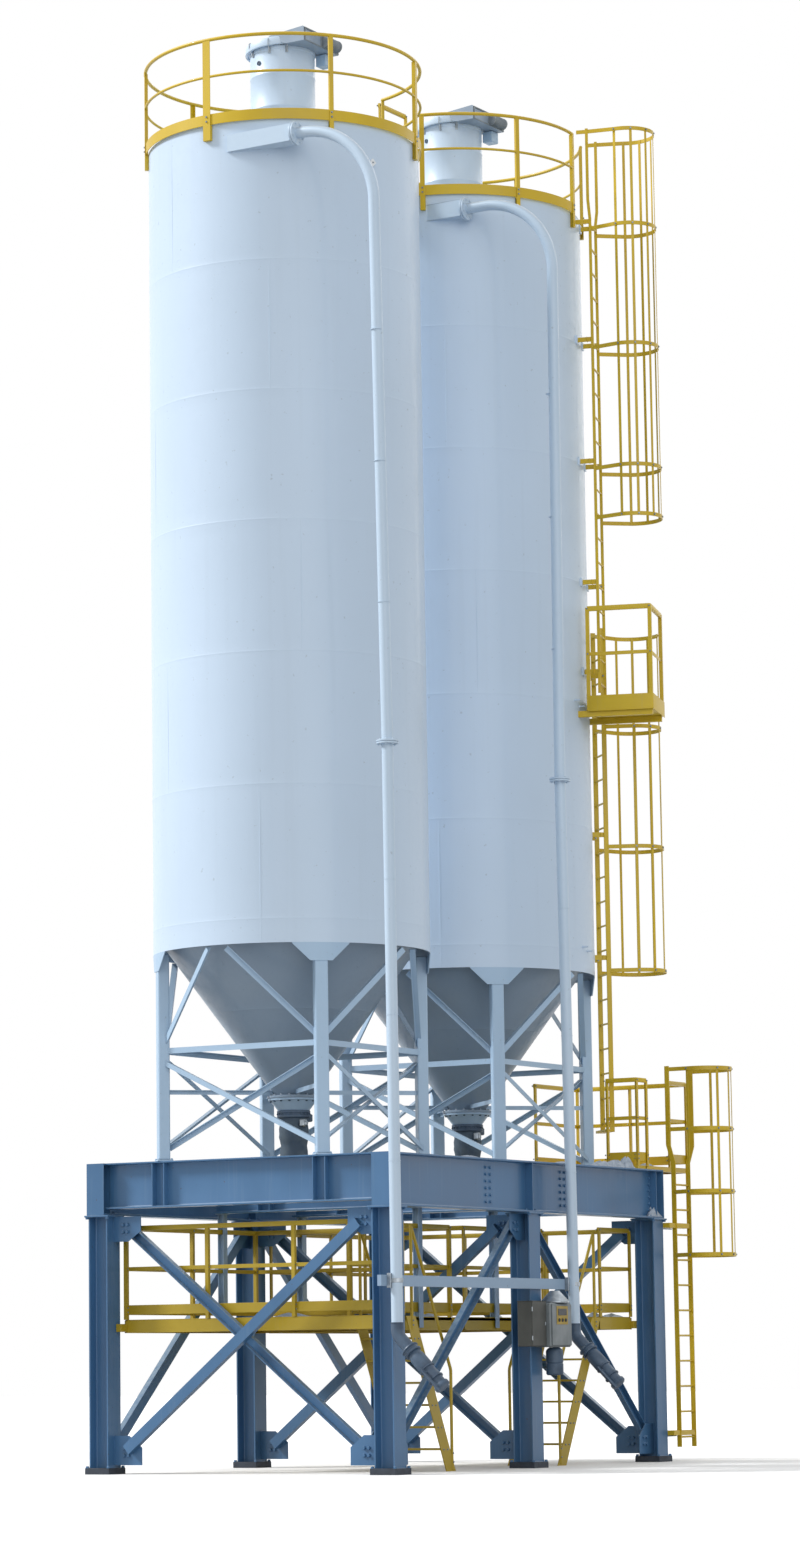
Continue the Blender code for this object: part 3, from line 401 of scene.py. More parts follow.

# %% [markdown]
# ### Stand paint and safety yellow
# The stand is rolled section under a steel-blue alkyd, brushed and sprayed on site over primer.
# Cement dust lies on whatever faces up, and edges and scrapes show a little rust. The rails are
# small bar in safety yellow, which chips more, because people climb on it. The decks and stairs
# under the hoppers get a darker copy of the same yellow, which is painted shade for the shadow
# that falls there.

# %% Stand paint and safety yellow
def make_alkyd(name, colour, deep, dust, chip, rough, chip_mm, chips, dusty):
    material, shader, place = start_material(name, metallic=0.0, roughness=rough, coat_weight=0.1)
    clouds = noise_at(material, place, 420, (1.0, 1.0, 1.5), 4.0)
    fine = noise_at(material, place, chip_mm, detail=5.0)
    patches = add_node(material, "MapRange", [fine, 0.3, 0.62, 0.3, 1.0])
    paint_layers(material, shader, deep, [
        (add_node(material, "MapRange", [clouds, 0.3, 0.7]), colour),
        (paint_run(material, place, 22, 0.58, 0.08), dust),
        (add_node(material, "MapRange", [fine, 1.0 - chips, 1.02 - chips]), chip),
        (settled(material, place, patches, dusty), dust)])
    gloss = add_node(material, "MapRange", [clouds, 0.3, 0.7, rough - 0.07, rough + 0.1])
    material.node_tree.links.new(gloss, shader["Roughness"])
    relief(material, shader, [(noise_at(material, place, 9, detail=2.0), 0.25)])
    return material


STAND_BLUE = make_alkyd("steel_blue_alkyd", "#456F97", "#3A6288", "#8FA0AC", "#4A4038", 0.40,
                        30, 0.265, 0.75)
HANGER_BLUE = make_alkyd("light_blue_alkyd", "#8DA6BF", "#7F9AB6", "#A7B0B4", "#6B6258", 0.45,
                         30, 0.25, 0.6)
SAFETY_YELLOW = make_alkyd("safety_yellow_alkyd", "#CFB016", "#BD9E12", "#A0946C", "#6A5A33", 0.44,
                           14, 0.275, 0.16)
# A darker copy of the safety yellow: painted shade for the decks and stairs under the hoppers.
SHADE_DARKENED_YELLOW = make_alkyd("shade_darkened_yellow_alkyd", "#B59B1E", "#A08816", "#A0946C", "#5E5130", 0.50,
                           14, 0.285, 0.22)
print("alkyds:", STAND_BLUE.name, SAFETY_YELLOW.name, SHADE_DARKENED_YELLOW.name)

# %% [markdown]
# ### Cast, zinc, rubber and plastic
# The valves are cast iron and pressed steel in a dark blue-grey, couplings are zinc plated, the
# sleeves are black rubber, and the small instrument has a moulded case.

# %% Cast, zinc, rubber and plastic
def make_plain(name, colour, second, mm, rough, metallic=0.0, deep=0.2):
    material, shader, place = start_material(name, metallic=metallic, roughness=rough)
    clouds = noise_at(material, place, mm, detail=4.0)
    paint_layers(material, shader, colour, [
        (add_node(material, "MapRange", [clouds, 0.35, 0.65]), second)])
    gloss = add_node(material, "MapRange", [clouds, 0.3, 0.7, rough - 0.08, rough + 0.12])
    material.node_tree.links.new(gloss, shader["Roughness"])
    relief(material, shader, [(noise_at(material, place, mm / 6, detail=2.0), deep)])
    return material


CAST_DARK = make_plain("painted_cast_iron", "#465B71", "#35465A", 90, 0.5)
ZINC = make_plain("zinc_plated_steel", "#A9B1B8", "#8D959C", 40, 0.38, 0.85, 0.05)
BOLT_STEEL = make_plain("zinc_bolt_steel", "#8F9AA5", "#6F7A85", 20, 0.4, 0.7, 0.05)
RUBBER = make_plain("black_rubber", "#23272B", "#31363A", 30, 0.72, 0.0, 0.1)
SLEEVE_CLOTH = make_plain("cement_dusted_rubber", "#435466", "#5A6874", 60, 0.8, 0.0, 0.6)
CABINET = make_plain("powder_coat_cabinet", "#484A47", "#3E403D", 160, 0.5)
INSTRUMENT = make_plain("moulded_polyester_case", "#7C8488", "#6C7478", 120, 0.45)
PANEL_YELLOW = make_plain("printed_yellow_panel", "#A98B22", "#98801F", 80, 0.4)
DISPLAY = make_plain("dark_display_window", "#171B20", "#20262C", 60, 0.12, 0.0, 0.0)
MOTOR_GREY = make_plain("enamelled_motor_casting", "#7C858C", "#666F77", 60, 0.45)
CEMENT = make_plain("dry_cement_dust", "#AEB9C6", "#98A4B2", 25, 0.95, 0.0, 1.5)
# Near-black base plates: the dark colour is painted shade at the column feet.
SHADED_BASE_PLATE = make_plain("base_plate_in_painted_shade", "#2C3542", "#232A34", 70, 0.6, 0.0, 0.5)
CASING = make_plain("enamelled_fan_casing", "#97A7B8", "#8696A8", 120, 0.45)
WHITE_PAD = make_plain("white_nylon_pad", "#E9EDF0", "#DCE1E5", 20, 0.5, 0.0, 0.05)
print("small finishes made")

# %% [markdown]
# ### Paint slots
# Someone who recolours the plant changes one slot at a time, so each finish belongs to one slot.
# Only the terminal box names its own, because it is painted with the other fittings.

# %% Paint slots
SLOTS = {
    "silo_paint": (SILO_ENAMEL, SHADED_HOPPER_ENAMEL, LEG_ENAMEL, WHITE_PAD),
    "pipe_paint": (PIPE_ENAMEL,),
    "stand_paint": (STAND_BLUE, HANGER_BLUE, SHADED_BASE_PLATE, CEMENT),
    "safety_paint": (SAFETY_YELLOW, SHADE_DARKENED_YELLOW),
    "cabinet_grey": (CABINET, INSTRUMENT, PANEL_YELLOW, DISPLAY, RUBBER),
    "fitting_metal": (CAST_DARK, ZINC, BOLT_STEEL, SLEEVE_CLOTH, MOTOR_GREY, CASING),
}
SLOT_OF = {finish.name: slot for slot, group in SLOTS.items() for finish in group}
print("slots:", ", ".join(SLOTS))

# %% [markdown]
# ## Camera, floor and light
# The camera stands where the photograph was taken, about 48 m off and at chest height, looking
# up a little, with a long lens. The floor and the world behind it are pale, and the light is soft:
# a broad key from the left, as in the photograph, a weaker fill from the front, and a back light.

# %% Camera
FRAME_W, FRAME_H = 800, 1547
FOCAL_PX = 4389.0
CENTRE_PX = (335.2, 734.3)
EYE = np.array([-44.557, -27.167, 1.107]) + ORIGIN
HEADING, PITCH, ROLL = 0.5574, 0.1445, -0.0121
forward = np.array([np.cos(HEADING) * np.cos(PITCH), np.sin(HEADING) * np.cos(PITCH), np.sin(PITCH)])
level = np.array([np.sin(HEADING), -np.cos(HEADING), 0.0])
upright = np.cross(level, forward)
across = np.cos(ROLL) * level + np.sin(ROLL) * upright
upward = np.cos(ROLL) * upright - np.sin(ROLL) * level
lens = bpy.data.cameras.new("camera")
lens.sensor_width = 36.0
lens.lens = FOCAL_PX * lens.sensor_width / FRAME_H
lens.shift_x = (FRAME_W / 2 - CENTRE_PX[0]) / FRAME_H
lens.shift_y = (CENTRE_PX[1] - FRAME_H / 2) / FRAME_H
lens.clip_end = 400.0
camera = bpy.data.objects.new("camera", lens)
turn = np.eye(4)
turn[:3, :3] = np.column_stack([across, upward, -forward])
turn[:3, 3] = EYE
camera.matrix_world = Matrix(turn.tolist())
bpy.context.scene.collection.objects.link(camera)
bpy.context.scene.camera = camera
print("lens", round(lens.lens, 1), "mm at", EYE.round(2))

# %% Floor and world
FLOOR_REACH = 150.0
floor_mesh = bpy.data.meshes.new("floor")
floor_mesh.from_pydata([(-FLOOR_REACH, -FLOOR_REACH, 0), (FLOOR_REACH, -FLOOR_REACH, 0),
                        (FLOOR_REACH, FLOOR_REACH, 0), (-FLOOR_REACH, FLOOR_REACH, 0)],
                       [], [(0, 1, 2, 3)])
floor = bpy.data.objects.new("floor", floor_mesh)
bpy.context.scene.collection.objects.link(floor)
FLOOR_SEEN, FLOOR_BOUNCE = "#F4F4F4", "#9C9C9C"
SKY_LEVEL, WHITE = 0.56, 1.0
screed, screed_shader, _ = start_material("pale_floor", metallic=0.0, roughness=0.9)
floor_mesh.materials.append(screed)
world = bpy.data.worlds.new("studio")
bpy.context.scene.world = world
world.use_nodes = True
seen = {}
for lit in (screed, world):
    rays = add_node(lit, "LightPath").node.outputs
    seen[lit.name] = add_node(lit, "Math", [rays["Is Camera Ray"], rays["Is Glossy Ray"]],
                              operation="MAXIMUM")
paint_layers(screed, screed_shader, FLOOR_BOUNCE, [(seen[screed.name], FLOOR_SEEN)])
sky = add_node(world, "MapRange", {"Value": seen[world.name], "To Min": SKY_LEVEL, "To Max": WHITE})
back = world.node_tree.nodes["Background"].inputs
world.node_tree.links.new(sky, back["Strength"])
back["Color"].default_value = (1.0, 1.0, 1.0, 1.0)
print("floor and world:", screed.name, world.name)

# %% Lamps
def add_sun(name, toward, strength, spread):
    """A distant soft lamp; toward is the way from the object to the lamp."""
    lamp = bpy.data.lights.new(name, "SUN")
    lamp.energy = strength
    lamp.angle = np.radians(spread)
    obj = bpy.data.objects.new(name, lamp)
    z = np.asarray(toward, float) / np.linalg.norm(toward)
    x = np.cross((0.0, 0.0, 1.0), z)
    x /= np.linalg.norm(x)
    facing = np.column_stack([x, np.cross(z, x), z])
    obj.matrix_world = Matrix(facing.tolist()).to_4x4()
    bpy.context.scene.collection.objects.link(obj)
    return obj


KEY_WAY = -across + 0.10 * forward + np.array([0.0, 0.0, 0.75])
FILL_WAY = -forward + 0.25 * across + np.array([0.0, 0.0, 0.55])
BACK_WAY = forward + 0.6 * across + np.array([0.0, 0.0, 0.8])
add_sun("key", KEY_WAY, 3.3, 12)
add_sun("fill", FILL_WAY, 0.80, 60)
add_sun("back", BACK_WAY, 0.7, 60)
bpy.context.scene.view_settings.view_transform = "Standard"
print("lamps set")

# %% [markdown]
# ## Finishes on the frame's own nodes
# A node whose form is right stays and only gets its paint. The longest matching beginning of a
# node's name picks the finish.

# %% Paint on the nodes
NODE_FINISH = {
    "shell": SILO_ENAMEL, "roof_left": SILO_ENAMEL, "roof_right": SILO_ENAMEL,
    "dust_filter": SILO_ENAMEL, "hopper": SHADED_HOPPER_ENAMEL, "leg": LEG_ENAMEL,
    "outlet": CAST_DARK, "fill_pipe": PIPE_ENAMEL, "pipe_beam": HANGER_BLUE,
    "control": CABINET, "column": STAND_BLUE, "girder": STAND_BLUE, "cross_beam": STAND_BLUE,
    "end_brace": STAND_BLUE, "face_brace": STAND_BLUE, "roof_rail": SAFETY_YELLOW,
    "roof_bridge": SAFETY_YELLOW, "ladder": SAFETY_YELLOW, "rest": SAFETY_YELLOW,
    "stand_platform": SAFETY_YELLOW, "deck": SAFETY_YELLOW, "stair": SAFETY_YELLOW,
}
for name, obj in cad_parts.items():
    best = max((key for key in NODE_FINISH if name.startswith(key)), key=len)
    obj.data.materials.clear()
    obj.data.materials.append(NODE_FINISH[best])
print("painted nodes:", len(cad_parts))

# %% [markdown]
# ## Shells and roofs
# A shell is six rolled courses welded one on another. The plates dish in a little between the
# girth welds, and that is what makes a big drum look like steel and not like a pipe. One profile
# of radius against height, turned about the axis, holds the dishing and the beads together.

# %% Shell profile
GIRTH_WELDS = (6.157, 7.680, 9.195, 10.710, 12.220, 13.740)
SEAM_TURNS = (200.0, 152.0, 218.0, 140.0, 206.0, 158.0)
WALL, AROUND = 0.010, 192


def shell_wall(steps=56):
    """Radius: SILO_R - 1.4 mm - 2 mm sin^2 between the welds, and a bead 1.8 mm high at each weld."""
    near = (np.array(GIRTH_WELDS)[:, None] + np.linspace(-0.016, 0.016, 5)).ravel()
    z = np.unique(np.concatenate([np.linspace(SHELL_LOW, SHELL_TOP, steps), near]))
    marks = np.array((SHELL_LOW,) + GIRTH_WELDS[1:] + (SHELL_TOP,))
    span = np.clip(np.searchsorted(marks, z) - 1, 0, len(marks) - 2)
    share = (z - marks[span]) / (marks[span + 1] - marks[span])
    dish = 0.002 * np.sin(np.pi * share) ** 2
    bead = sum(np.exp(-((z - w) / 0.0075) ** 2) for w in GIRTH_WELDS)
    r = SILO_R - dish - 0.0014 + 0.0018 * bead
    return np.column_stack([r, z])


def shell(x):
    """The wall's outer profile, closed round its inner face, turned about the silo's axis."""
    outer = shell_wall()
    inner = [(SILO_R - WALL, SHELL_TOP), (SILO_R - WALL, SHELL_LOW)]
    return turned(np.vstack([outer, inner]), AROUND, (x, 0.0))


def upright_welds(x, turns):
    """A flat bead from girth weld to girth weld, one for each course, at its own turn."""
    marks = (SHELL_LOW,) + GIRTH_WELDS[1:] + (SHELL_TOP,)
    rod = rounded_outline(0.010, 0.0056, 0.0027, 2)
    beads = []
    for low, high, turn in zip(marks[:-1], marks[1:], turns):
        way = facing(turn)
        spot = (x, 0.0, 0.0) + (SILO_R - 0.003) * way
        beads.append(straight(rod, spot + (0, 0, low + 0.01), spot + (0, 0, high - 0.01), way))
    return joined(beads)


# %% Shells and roofs in place
for word, x in SILOS.items():
    put("wall_" + word, shell(x), SILO_ENAMEL, replaces=["shell_" + word])
    put("seam_" + word, upright_welds(x, SEAM_TURNS), SILO_ENAMEL)
    lip = [(0.0, SHELL_TOP + 0.001), (SILO_R - 0.002, SHELL_TOP + 0.001), (SILO_R, SHELL_TOP + 0.004),
           (SILO_R, SHELL_TOP + 0.016), (SILO_R - 0.004, SHELL_TOP + 0.020),
           (0.46, SHELL_TOP + 0.083), (0.44, SHELL_TOP + 0.0850), (0.0, SHELL_TOP + 0.0850)]
    put("roof_plate_" + word, turned_solid(lip, AROUND, (x, 0.0)), SILO_ENAMEL,
        replaces=["roof_" + word])

# %% [markdown]
# ## Hoppers and their outlets
# Each cone hangs inside the shell's skirt. It is rolled in two strakes, so it carries a weld round
# its middle, and it ends in a flange ring with a bolt circle. Under the ring
# a short neck leads to the valve: a dark ring of studs, its drive and latch, and a rubber sleeve.

# %% Hoppers
CONE_TOP, CONE_FOOT, CONE_FOOT_R = 6.140, 4.262, 0.215
FLANGE_R, FLANGE_T = 0.300, 0.030
CONE_TOP_R = SILO_R - WALL - 0.001


def cone(x):
    """Radius falls in a straight line from top to foot; a bead stands 3 mm proud, a ring ends it."""
    t = np.unique(np.concatenate([np.linspace(0, 1, 25), 0.5 + np.linspace(-0.006, 0.006, 5)]))
    z = CONE_TOP + (CONE_FOOT - CONE_TOP) * t
    r = CONE_TOP_R + (CONE_FOOT_R - CONE_TOP_R) * t + 0.003 * np.exp(-((t - 0.5) / 0.003) ** 2)
    low = CONE_FOOT - FLANGE_T
    lip, bore = FLANGE_R - 0.003, CONE_FOOT_R - 0.012
    ring = [(lip, CONE_FOOT), (FLANGE_R, CONE_FOOT - 0.003), (FLANGE_R, low + 0.003), (lip, low),
            (bore, low), (bore, CONE_FOOT + 0.01), (CONE_TOP_R - 0.018, CONE_TOP)]
    return turned(np.vstack([np.column_stack([r, z]), ring]), 128, (x, 0.0))


# %% Bolts
def hexagon(across, high):
    """A hexagon head on a round washer, its top edge chamfered; across is the width over flats."""
    r = across / np.sqrt(3)
    disc_r, disc_h = 1.116 * r, 0.22 * high
    head = capped(ring_table([(r, 0.0), (r, high - 0.12 * across), (r * 0.88, high)], 6))
    disc = turned_solid([(0.0, 0.0), (disc_r, 0.0), (disc_r, disc_h), (0.0, disc_h)], 12)
    return joined([disc, moved(head, z=high * 0.2)])


def bolt_circle(centre, radius, count):
    a = ring_angles(count)
    around = np.array(centre[:2]) + radius * np.column_stack([np.cos(a), np.sin(a)])
    return at_height(around, centre[2])


M20 = hexagon(0.030, 0.016)
M16 = hexagon(0.024, 0.013)
M12 = hexagon(0.019, 0.010)
M10 = hexagon(0.016, 0.008)
UP, DOWN = (0.0, 0.0, 1.0), (0.0, 0.0, -1.0)

# %% Hoppers and valves in place
VALVE_TOP = CONE_FOOT - FLANGE_T - GAP
NECK = [(0.0, 0.0), (0.288, 0.0), (0.290, -0.002), (0.290, -0.023), (0.286, -0.026), (0.262, -0.030),
        (0.184, -0.134), (0.180, -0.140), (0.0, -0.140)]
VALVE = [(0.0, -0.136), (0.186, -0.138), (0.192, -0.142), (0.192, -0.166), (0.184, -0.172),
         (0.184, -0.186), (0.192, -0.192), (0.192, -0.216), (0.186, -0.222), (0.168, -0.228),
         (0.0, -0.230)]
SLEEVE = [(0.0, -0.226), (0.166, -0.228), (0.170, -0.260), (0.162, -0.300), (0.171, -0.350),
          (0.168, -0.400), (0.172, -0.440), (0.158, -0.500), (0.150, -0.540), (0.158, -0.600),
          (0.163, -0.680), (0.158, -0.716), (0.0, -0.718)]
for word, x in SILOS.items():
    # The cone takes the darker enamel copy, which is painted shade.
    put("cone_" + word, cone(x), SHADED_HOPPER_ENAMEL, replaces=["hopper_" + word])
    neck = turned_solid(np.array(NECK) + (0.0, VALVE_TOP), 64, (x, 0.0))
    put("neck_" + word, neck, LEG_ENAMEL)
    body = turned_solid(np.array(VALVE) + (0.0, VALVE_TOP), 64, (x, 0.0))
    drive = [moved(block(0.120, 0.330, -0.055, 0.055, VALVE_TOP - 0.255, VALVE_TOP - 0.165, 0.012), x),
             moved(turned_solid([(0.0, -0.155), (0.030, -0.155), (0.030, -0.140), (0.0, -0.140)], 20,
                                (0.230, 0.0)), x, 0.0, VALVE_TOP)]
    nuts = copies(M16, bolt_circle((x, 0.0, VALVE_TOP - 0.026), 0.262, 16), DOWN)
    lugs = copies(M12, bolt_circle((x, 0.0, VALVE_TOP - 0.179), 0.183, 24), [
        (np.cos(a), np.sin(a), 0.0) for a in ring_angles(24)])
    put("valve_" + word, joined([body] + drive + [nuts, lugs]), CAST_DARK,
        replaces=["outlet_" + word])
    latch = [block(x - 0.125, x - 0.045, -0.215, -0.150, VALVE_TOP - 0.330, VALVE_TOP - 0.240, 0.012),
             block(x - 0.110, x - 0.060, -0.232, -0.214, VALVE_TOP - 0.315, VALVE_TOP - 0.270, 0.006)]
    put("latch_" + word, joined(latch), ZINC)
    sleeve = turned_solid(np.array(SLEEVE) + (0.0, VALVE_TOP), 64, (x, 0.0))
    put("sleeve_" + word, sleeve, SLEEVE_CLOTH)
    heads = copies(M16, bolt_circle((x, 0.0, CONE_FOOT), 0.262, 16), UP)
    put("flange_bolts_" + word, heads, BOLT_STEEL)

# %% [markdown]
# ## Dust filters on the roofs
# A filter is a round can that stands on the roof. Its lid is a shallow cap with a rolled rim that
# overhangs the can, and at the front the lid rises into a fan box with a louvred underside, a
# motor and a small terminal box. The parts are made about the can's own axis and set on each roof.

# %% Filter cans, lids and fan boxes
CAN_R, CAN_TOP, CAN_FOOT = 0.385, 16.640, SHELL_TOP + 0.0853
LID_R, LID_SLOPE = 0.440, 0.055


def tilted(shape, slope):
    """Raises each point by slope for every metre that it lies towards the front."""
    points = shape[0].copy()
    points[:, 2] -= slope * points[:, 1]
    return points, shape[1]


def filter_can():
    """The can with its foot ring and a rolled swage under the top."""
    r = CAN_R
    profile = [(0.0, CAN_FOOT), (0.418, CAN_FOOT), (0.420, CAN_FOOT + 0.003), (0.420, CAN_FOOT + 0.034),
               (0.417, CAN_FOOT + 0.037), (r + 0.002, CAN_FOOT + 0.040), (r, CAN_FOOT + 0.045),
               (r, 15.90), (r + 0.003, 15.905), (r + 0.003, 15.915), (r, 15.92),
               (r, 16.30), (r + 0.003, 16.305), (r + 0.003, 16.315), (r, 16.32),
               (r, CAN_TOP - 0.05), (r + 0.006, CAN_TOP - 0.045), (r + 0.006, CAN_TOP), (0.0, CAN_TOP)]
    return turned_solid(profile, 96)


def filter_lid():
    """A cap with a rolled rim; the whole cap leans up towards the front."""
    z = CAN_TOP
    profile = [(0.0, z + 0.002), (LID_R - 0.030, z + 0.002), (LID_R - 0.028, z - 0.012),
               (LID_R - 0.010, z - 0.018), (LID_R, z - 0.010), (LID_R + 0.002, z + 0.006),
               (LID_R - 0.002, z + 0.060), (LID_R - 0.008, z + 0.078), (LID_R - 0.026, z + 0.090),
               (0.20, z + 0.118), (0.0, z + 0.124)]
    return tilted(turned_solid(profile, 96), LID_SLOPE)


FAN = dict(x0=-0.385, x1=0.385, front=-0.545, back=-0.060, foot=16.625, brow=16.800, heel=16.735)


def fan_box():
    """The raised front of the lid: a side outline in (y, z), carried across, with a rolled edge."""
    f = FAN
    outline = [(f["front"], f["foot"]), (f["front"], f["brow"] - 0.012),
               (f["front"] + 0.012, f["brow"]), (f["back"], f["heel"] + 0.02),
               (f["back"] + 0.02, f["heel"] - 0.03), (-0.30, f["foot"])]
    return cut_plate(outline, f["x0"], f["x1"], 0)


def fan_face():
    """What the fan box shows in front: a frame of two cross bars and three uprights."""
    f = FAN
    y = f["front"]
    x0, x1, foot, brow = f["x0"] + 0.01, f["x1"] - 0.01, f["foot"], f["brow"]
    bars = [block(x0, x1, y - 0.012, y + 0.002, brow - 0.030, brow - 0.012),
            block(x0, x1, y - 0.012, y + 0.002, foot, foot + 0.016)]
    for x in (x0, -0.012, x1 - 0.024):
        bars.append(block(x, x + 0.024, y - 0.011, y + 0.002, foot + 0.004, brow - 0.014))
    return joined(bars)


def fan_motor():
    """The motor lies along X behind the frame: a ribbed case with its end shields and hub."""
    y, z, r = FAN["front"] - 0.020, FAN["foot"] + 0.080, 0.070
    ribs = 37
    path = np.column_stack([np.linspace(0.030, 0.300, ribs), np.full(ribs, y), np.full(ribs, z)])
    case = tube(path, r + 0.004 * (np.arange(ribs) % 2), 28)
    shields = ((0.010, 0.034, r + 0.006), (0.296, 0.322, r + 0.006), (0.320, 0.345, r - 0.022))
    ends = [tube([(x0, y, z), (x0 + 0.004, y, z), (x1 - 0.004, y, z), (x1, y, z)],
                 [wide - 0.006, wide, wide, wide - 0.006], 28) for x0, x1, wide in shields]
    return joined([case] + ends)


def louvre_slots():
    """Dark blades round the lid's underside on the fan's side, one every 5.2 degrees."""
    blade = block(CAN_R + 0.008, LID_R - 0.034, -0.004, 0.004, 16.620, 16.652, 0.001)
    return tilted(joined([spun(blade, turn) for turn in np.arange(-150.0, -28.0, 5.2)]), LID_SLOPE)


def lid_clips():
    """Six over-centre clips: a plate on the can, a loop over the lid's rim."""
    plate = block(CAN_R + 0.001, CAN_R + 0.010, -0.017, 0.017, 16.545, 16.625, 0.003)
    loop = tube([(CAN_R + 0.014, 0, 16.560), (CAN_R + 0.030, 0, 16.590), (LID_R + 0.004, 0, 16.650),
                 (LID_R + 0.006, 0, 16.700), (LID_R - 0.012, 0, 16.716)], 0.006, 8, (0, 1, 0))
    clip = joined([plate, loop])
    return joined([spun(clip, turn) for turn in (-170.0, -140.0, 150.0, 95.0, 35.0, 5.0)])


# %% Filters in place
FILTER_PIECES = {
    "filter_can": (filter_can(), SILO_ENAMEL),
    "filter_lid": (filter_lid(), SILO_ENAMEL),
    "fan_box": (fan_box(), CASING),
    "fan_frame": (joined([fan_face(), louvre_slots()]), MOTOR_GREY),
    "fan_motor": (fan_motor(), MOTOR_GREY),
    "filter_clips": (lid_clips(), ZINC),
}
for word, x in SILOS.items():
    for start, (shape, finish) in FILTER_PIECES.items():
        put(f"{start}_{word}", moved(shape, x), finish,
            replaces=["dust_filter_" + word] if start == "filter_can" else ())
    put("terminal_box_" + word, block(x + 0.215, x + 0.375, -0.470, -0.330, 16.480, 16.622, 0.008),
        LEG_ENAMEL, slot="fitting_metal")

# %% [markdown]
# ## Filling pipes
# A tanker blows cement up these pipes. Each rises in front of the stand, kinks at a flanged joint,
# bends over towards the back and enters a square inlet box that runs along the shell's flank. At
# the foot it turns out at 45 degrees to a coupling, a valve and an end cap.

# %% The pipes' route
PIPE_R, PIPE_Y, KINK_Z, PIPE_FOOT = 0.065, -2.150, 8.030, 1.610
PIPE_WELDS = (3.4, 5.0, 6.5, 9.6, 11.2, 12.7)
PIPES = {
    "left": dict(x=-SILO_X, top=(-3.480, -2.150, 15.126), flange=-1.133, kink=-3.330, low=-3.290,
                 end=-0.250),
    "right": dict(x=SILO_X, top=(0.565, -2.205, 15.156), flange=-1.015, kink=0.600, low=0.700,
                  end=-0.420),
}
BEND_R, INLET_HALF, FOOT_BEND = 0.930, 0.100, 0.14


def bend(corner, before, after, radius, steps):
    """An arc of the given radius round a corner, touching the legs that come in and go out."""
    corner, before, after = (np.asarray(v, float) for v in (corner, before, after))
    into = (corner - before) / np.linalg.norm(corner - before)
    out = (after - corner) / np.linalg.norm(after - corner)
    half = np.arccos(np.clip(into @ out, -1, 1)) / 2
    reach = radius * np.tan(half)
    middle = corner + (out - into) / np.linalg.norm(out - into) * radius / np.cos(half)
    a = corner - into * reach - middle
    t = np.linspace(0, 2 * half, steps)[:, None]
    return middle + a * np.cos(t) + into * radius * np.sin(t)


def pipe_route(p):
    """Centre line from the inlet flange over the bend, down past the kink, to the foot's 45 turn."""
    x, y, z = p["top"]
    mouth = np.array([x, p["flange"] - 0.02, z])
    corner = np.array([x, y, z])
    kink = np.array([p["kink"], PIPE_Y, KINK_Z])
    foot = np.array([p["low"], PIPE_Y, PIPE_FOOT - 0.10])
    out = np.array([0.0, -np.sqrt(0.5), -np.sqrt(0.5)])
    tip = foot + out * 0.80
    return np.vstack([[mouth], bend(corner, mouth, kink, BEND_R, 33), [kink],
                      bend(foot, kink, tip, FOOT_BEND, 9), [tip]]), foot, out


def cross_axes(run):
    """The unit vector along run, and two more at right angles to it and to each other."""
    run = np.asarray(run, float) / np.linalg.norm(run)
    hint = (1.0, 0.0, 0.0) if abs(run[0]) < 0.9 else (0.0, 0.0, 1.0)
    side = np.cross(run, hint)
    side /= np.linalg.norm(side)
    return run, side, np.cross(side, run)


def ring_on(centre, run, profile, sides=40):
    """A profile of (distance along run, radius) turned about run, closed at both ends."""
    run, side, up = cross_axes(run)
    profile = np.asarray(profile, float)
    path = np.asarray(centre) + profile[:, :1] * run
    a = ring_angles(sides)[None, :, None]
    return capped(path[:, None] + profile[:, 1, None, None] * (np.cos(a) * side + np.sin(a) * up))


def flange_pair(centre, run, radius, half, gasket=0.003):
    """Two plates face to face with a gasket line between them, edges eased."""
    e = 0.003
    return ring_on(centre, run, [(-half, radius - e), (-half + e, radius), (-gasket - e, radius),
                                 (-gasket, radius - e), (-gasket, radius - 0.012),
                                 (gasket, radius - 0.012), (gasket, radius - e),
                                 (gasket + e, radius), (half - e, radius), (half, radius - e)])


def flange_bolts(centre, run, radius, half, count, bolt):
    """Bolt heads on both faces of a flange pair."""
    run, side, up = cross_axes(run)
    a = ring_angles(count, np.pi / count)[:, None]
    around = np.asarray(centre) + radius * (np.cos(a) * side + np.sin(a) * up)
    return joined([copies(bolt, around + run * half, run), copies(bolt, around - run * half, -run)])


def inlet_box(p):
    """A square duct along the shell's flank from its flange back to where it dies into the wall."""
    x, _, z = p["top"]
    face, inner = x - INLET_HALF, x + INLET_HALF
    y0, y1 = p["flange"] + 0.030, p["end"]
    a1 = np.arctan2(y1, -np.sqrt(SILO_R ** 2 - y1 ** 2))
    a0 = np.arctan2(-np.sqrt(max(SILO_R ** 2 - (inner - p["x"]) ** 2, 0.0)), inner - p["x"])
    turns = np.linspace(a1 if a1 < 0 else a1 - 2 * np.pi, a0, 14)
    skin = SILO_R - 0.004
    along = np.column_stack([p["x"] + skin * np.cos(turns), skin * np.sin(turns)])
    outline = np.vstack([[(inner, y0), (face, y0), (face, y1)], along])
    return cut_plate(outline, z - INLET_HALF, z + INLET_HALF, 2)


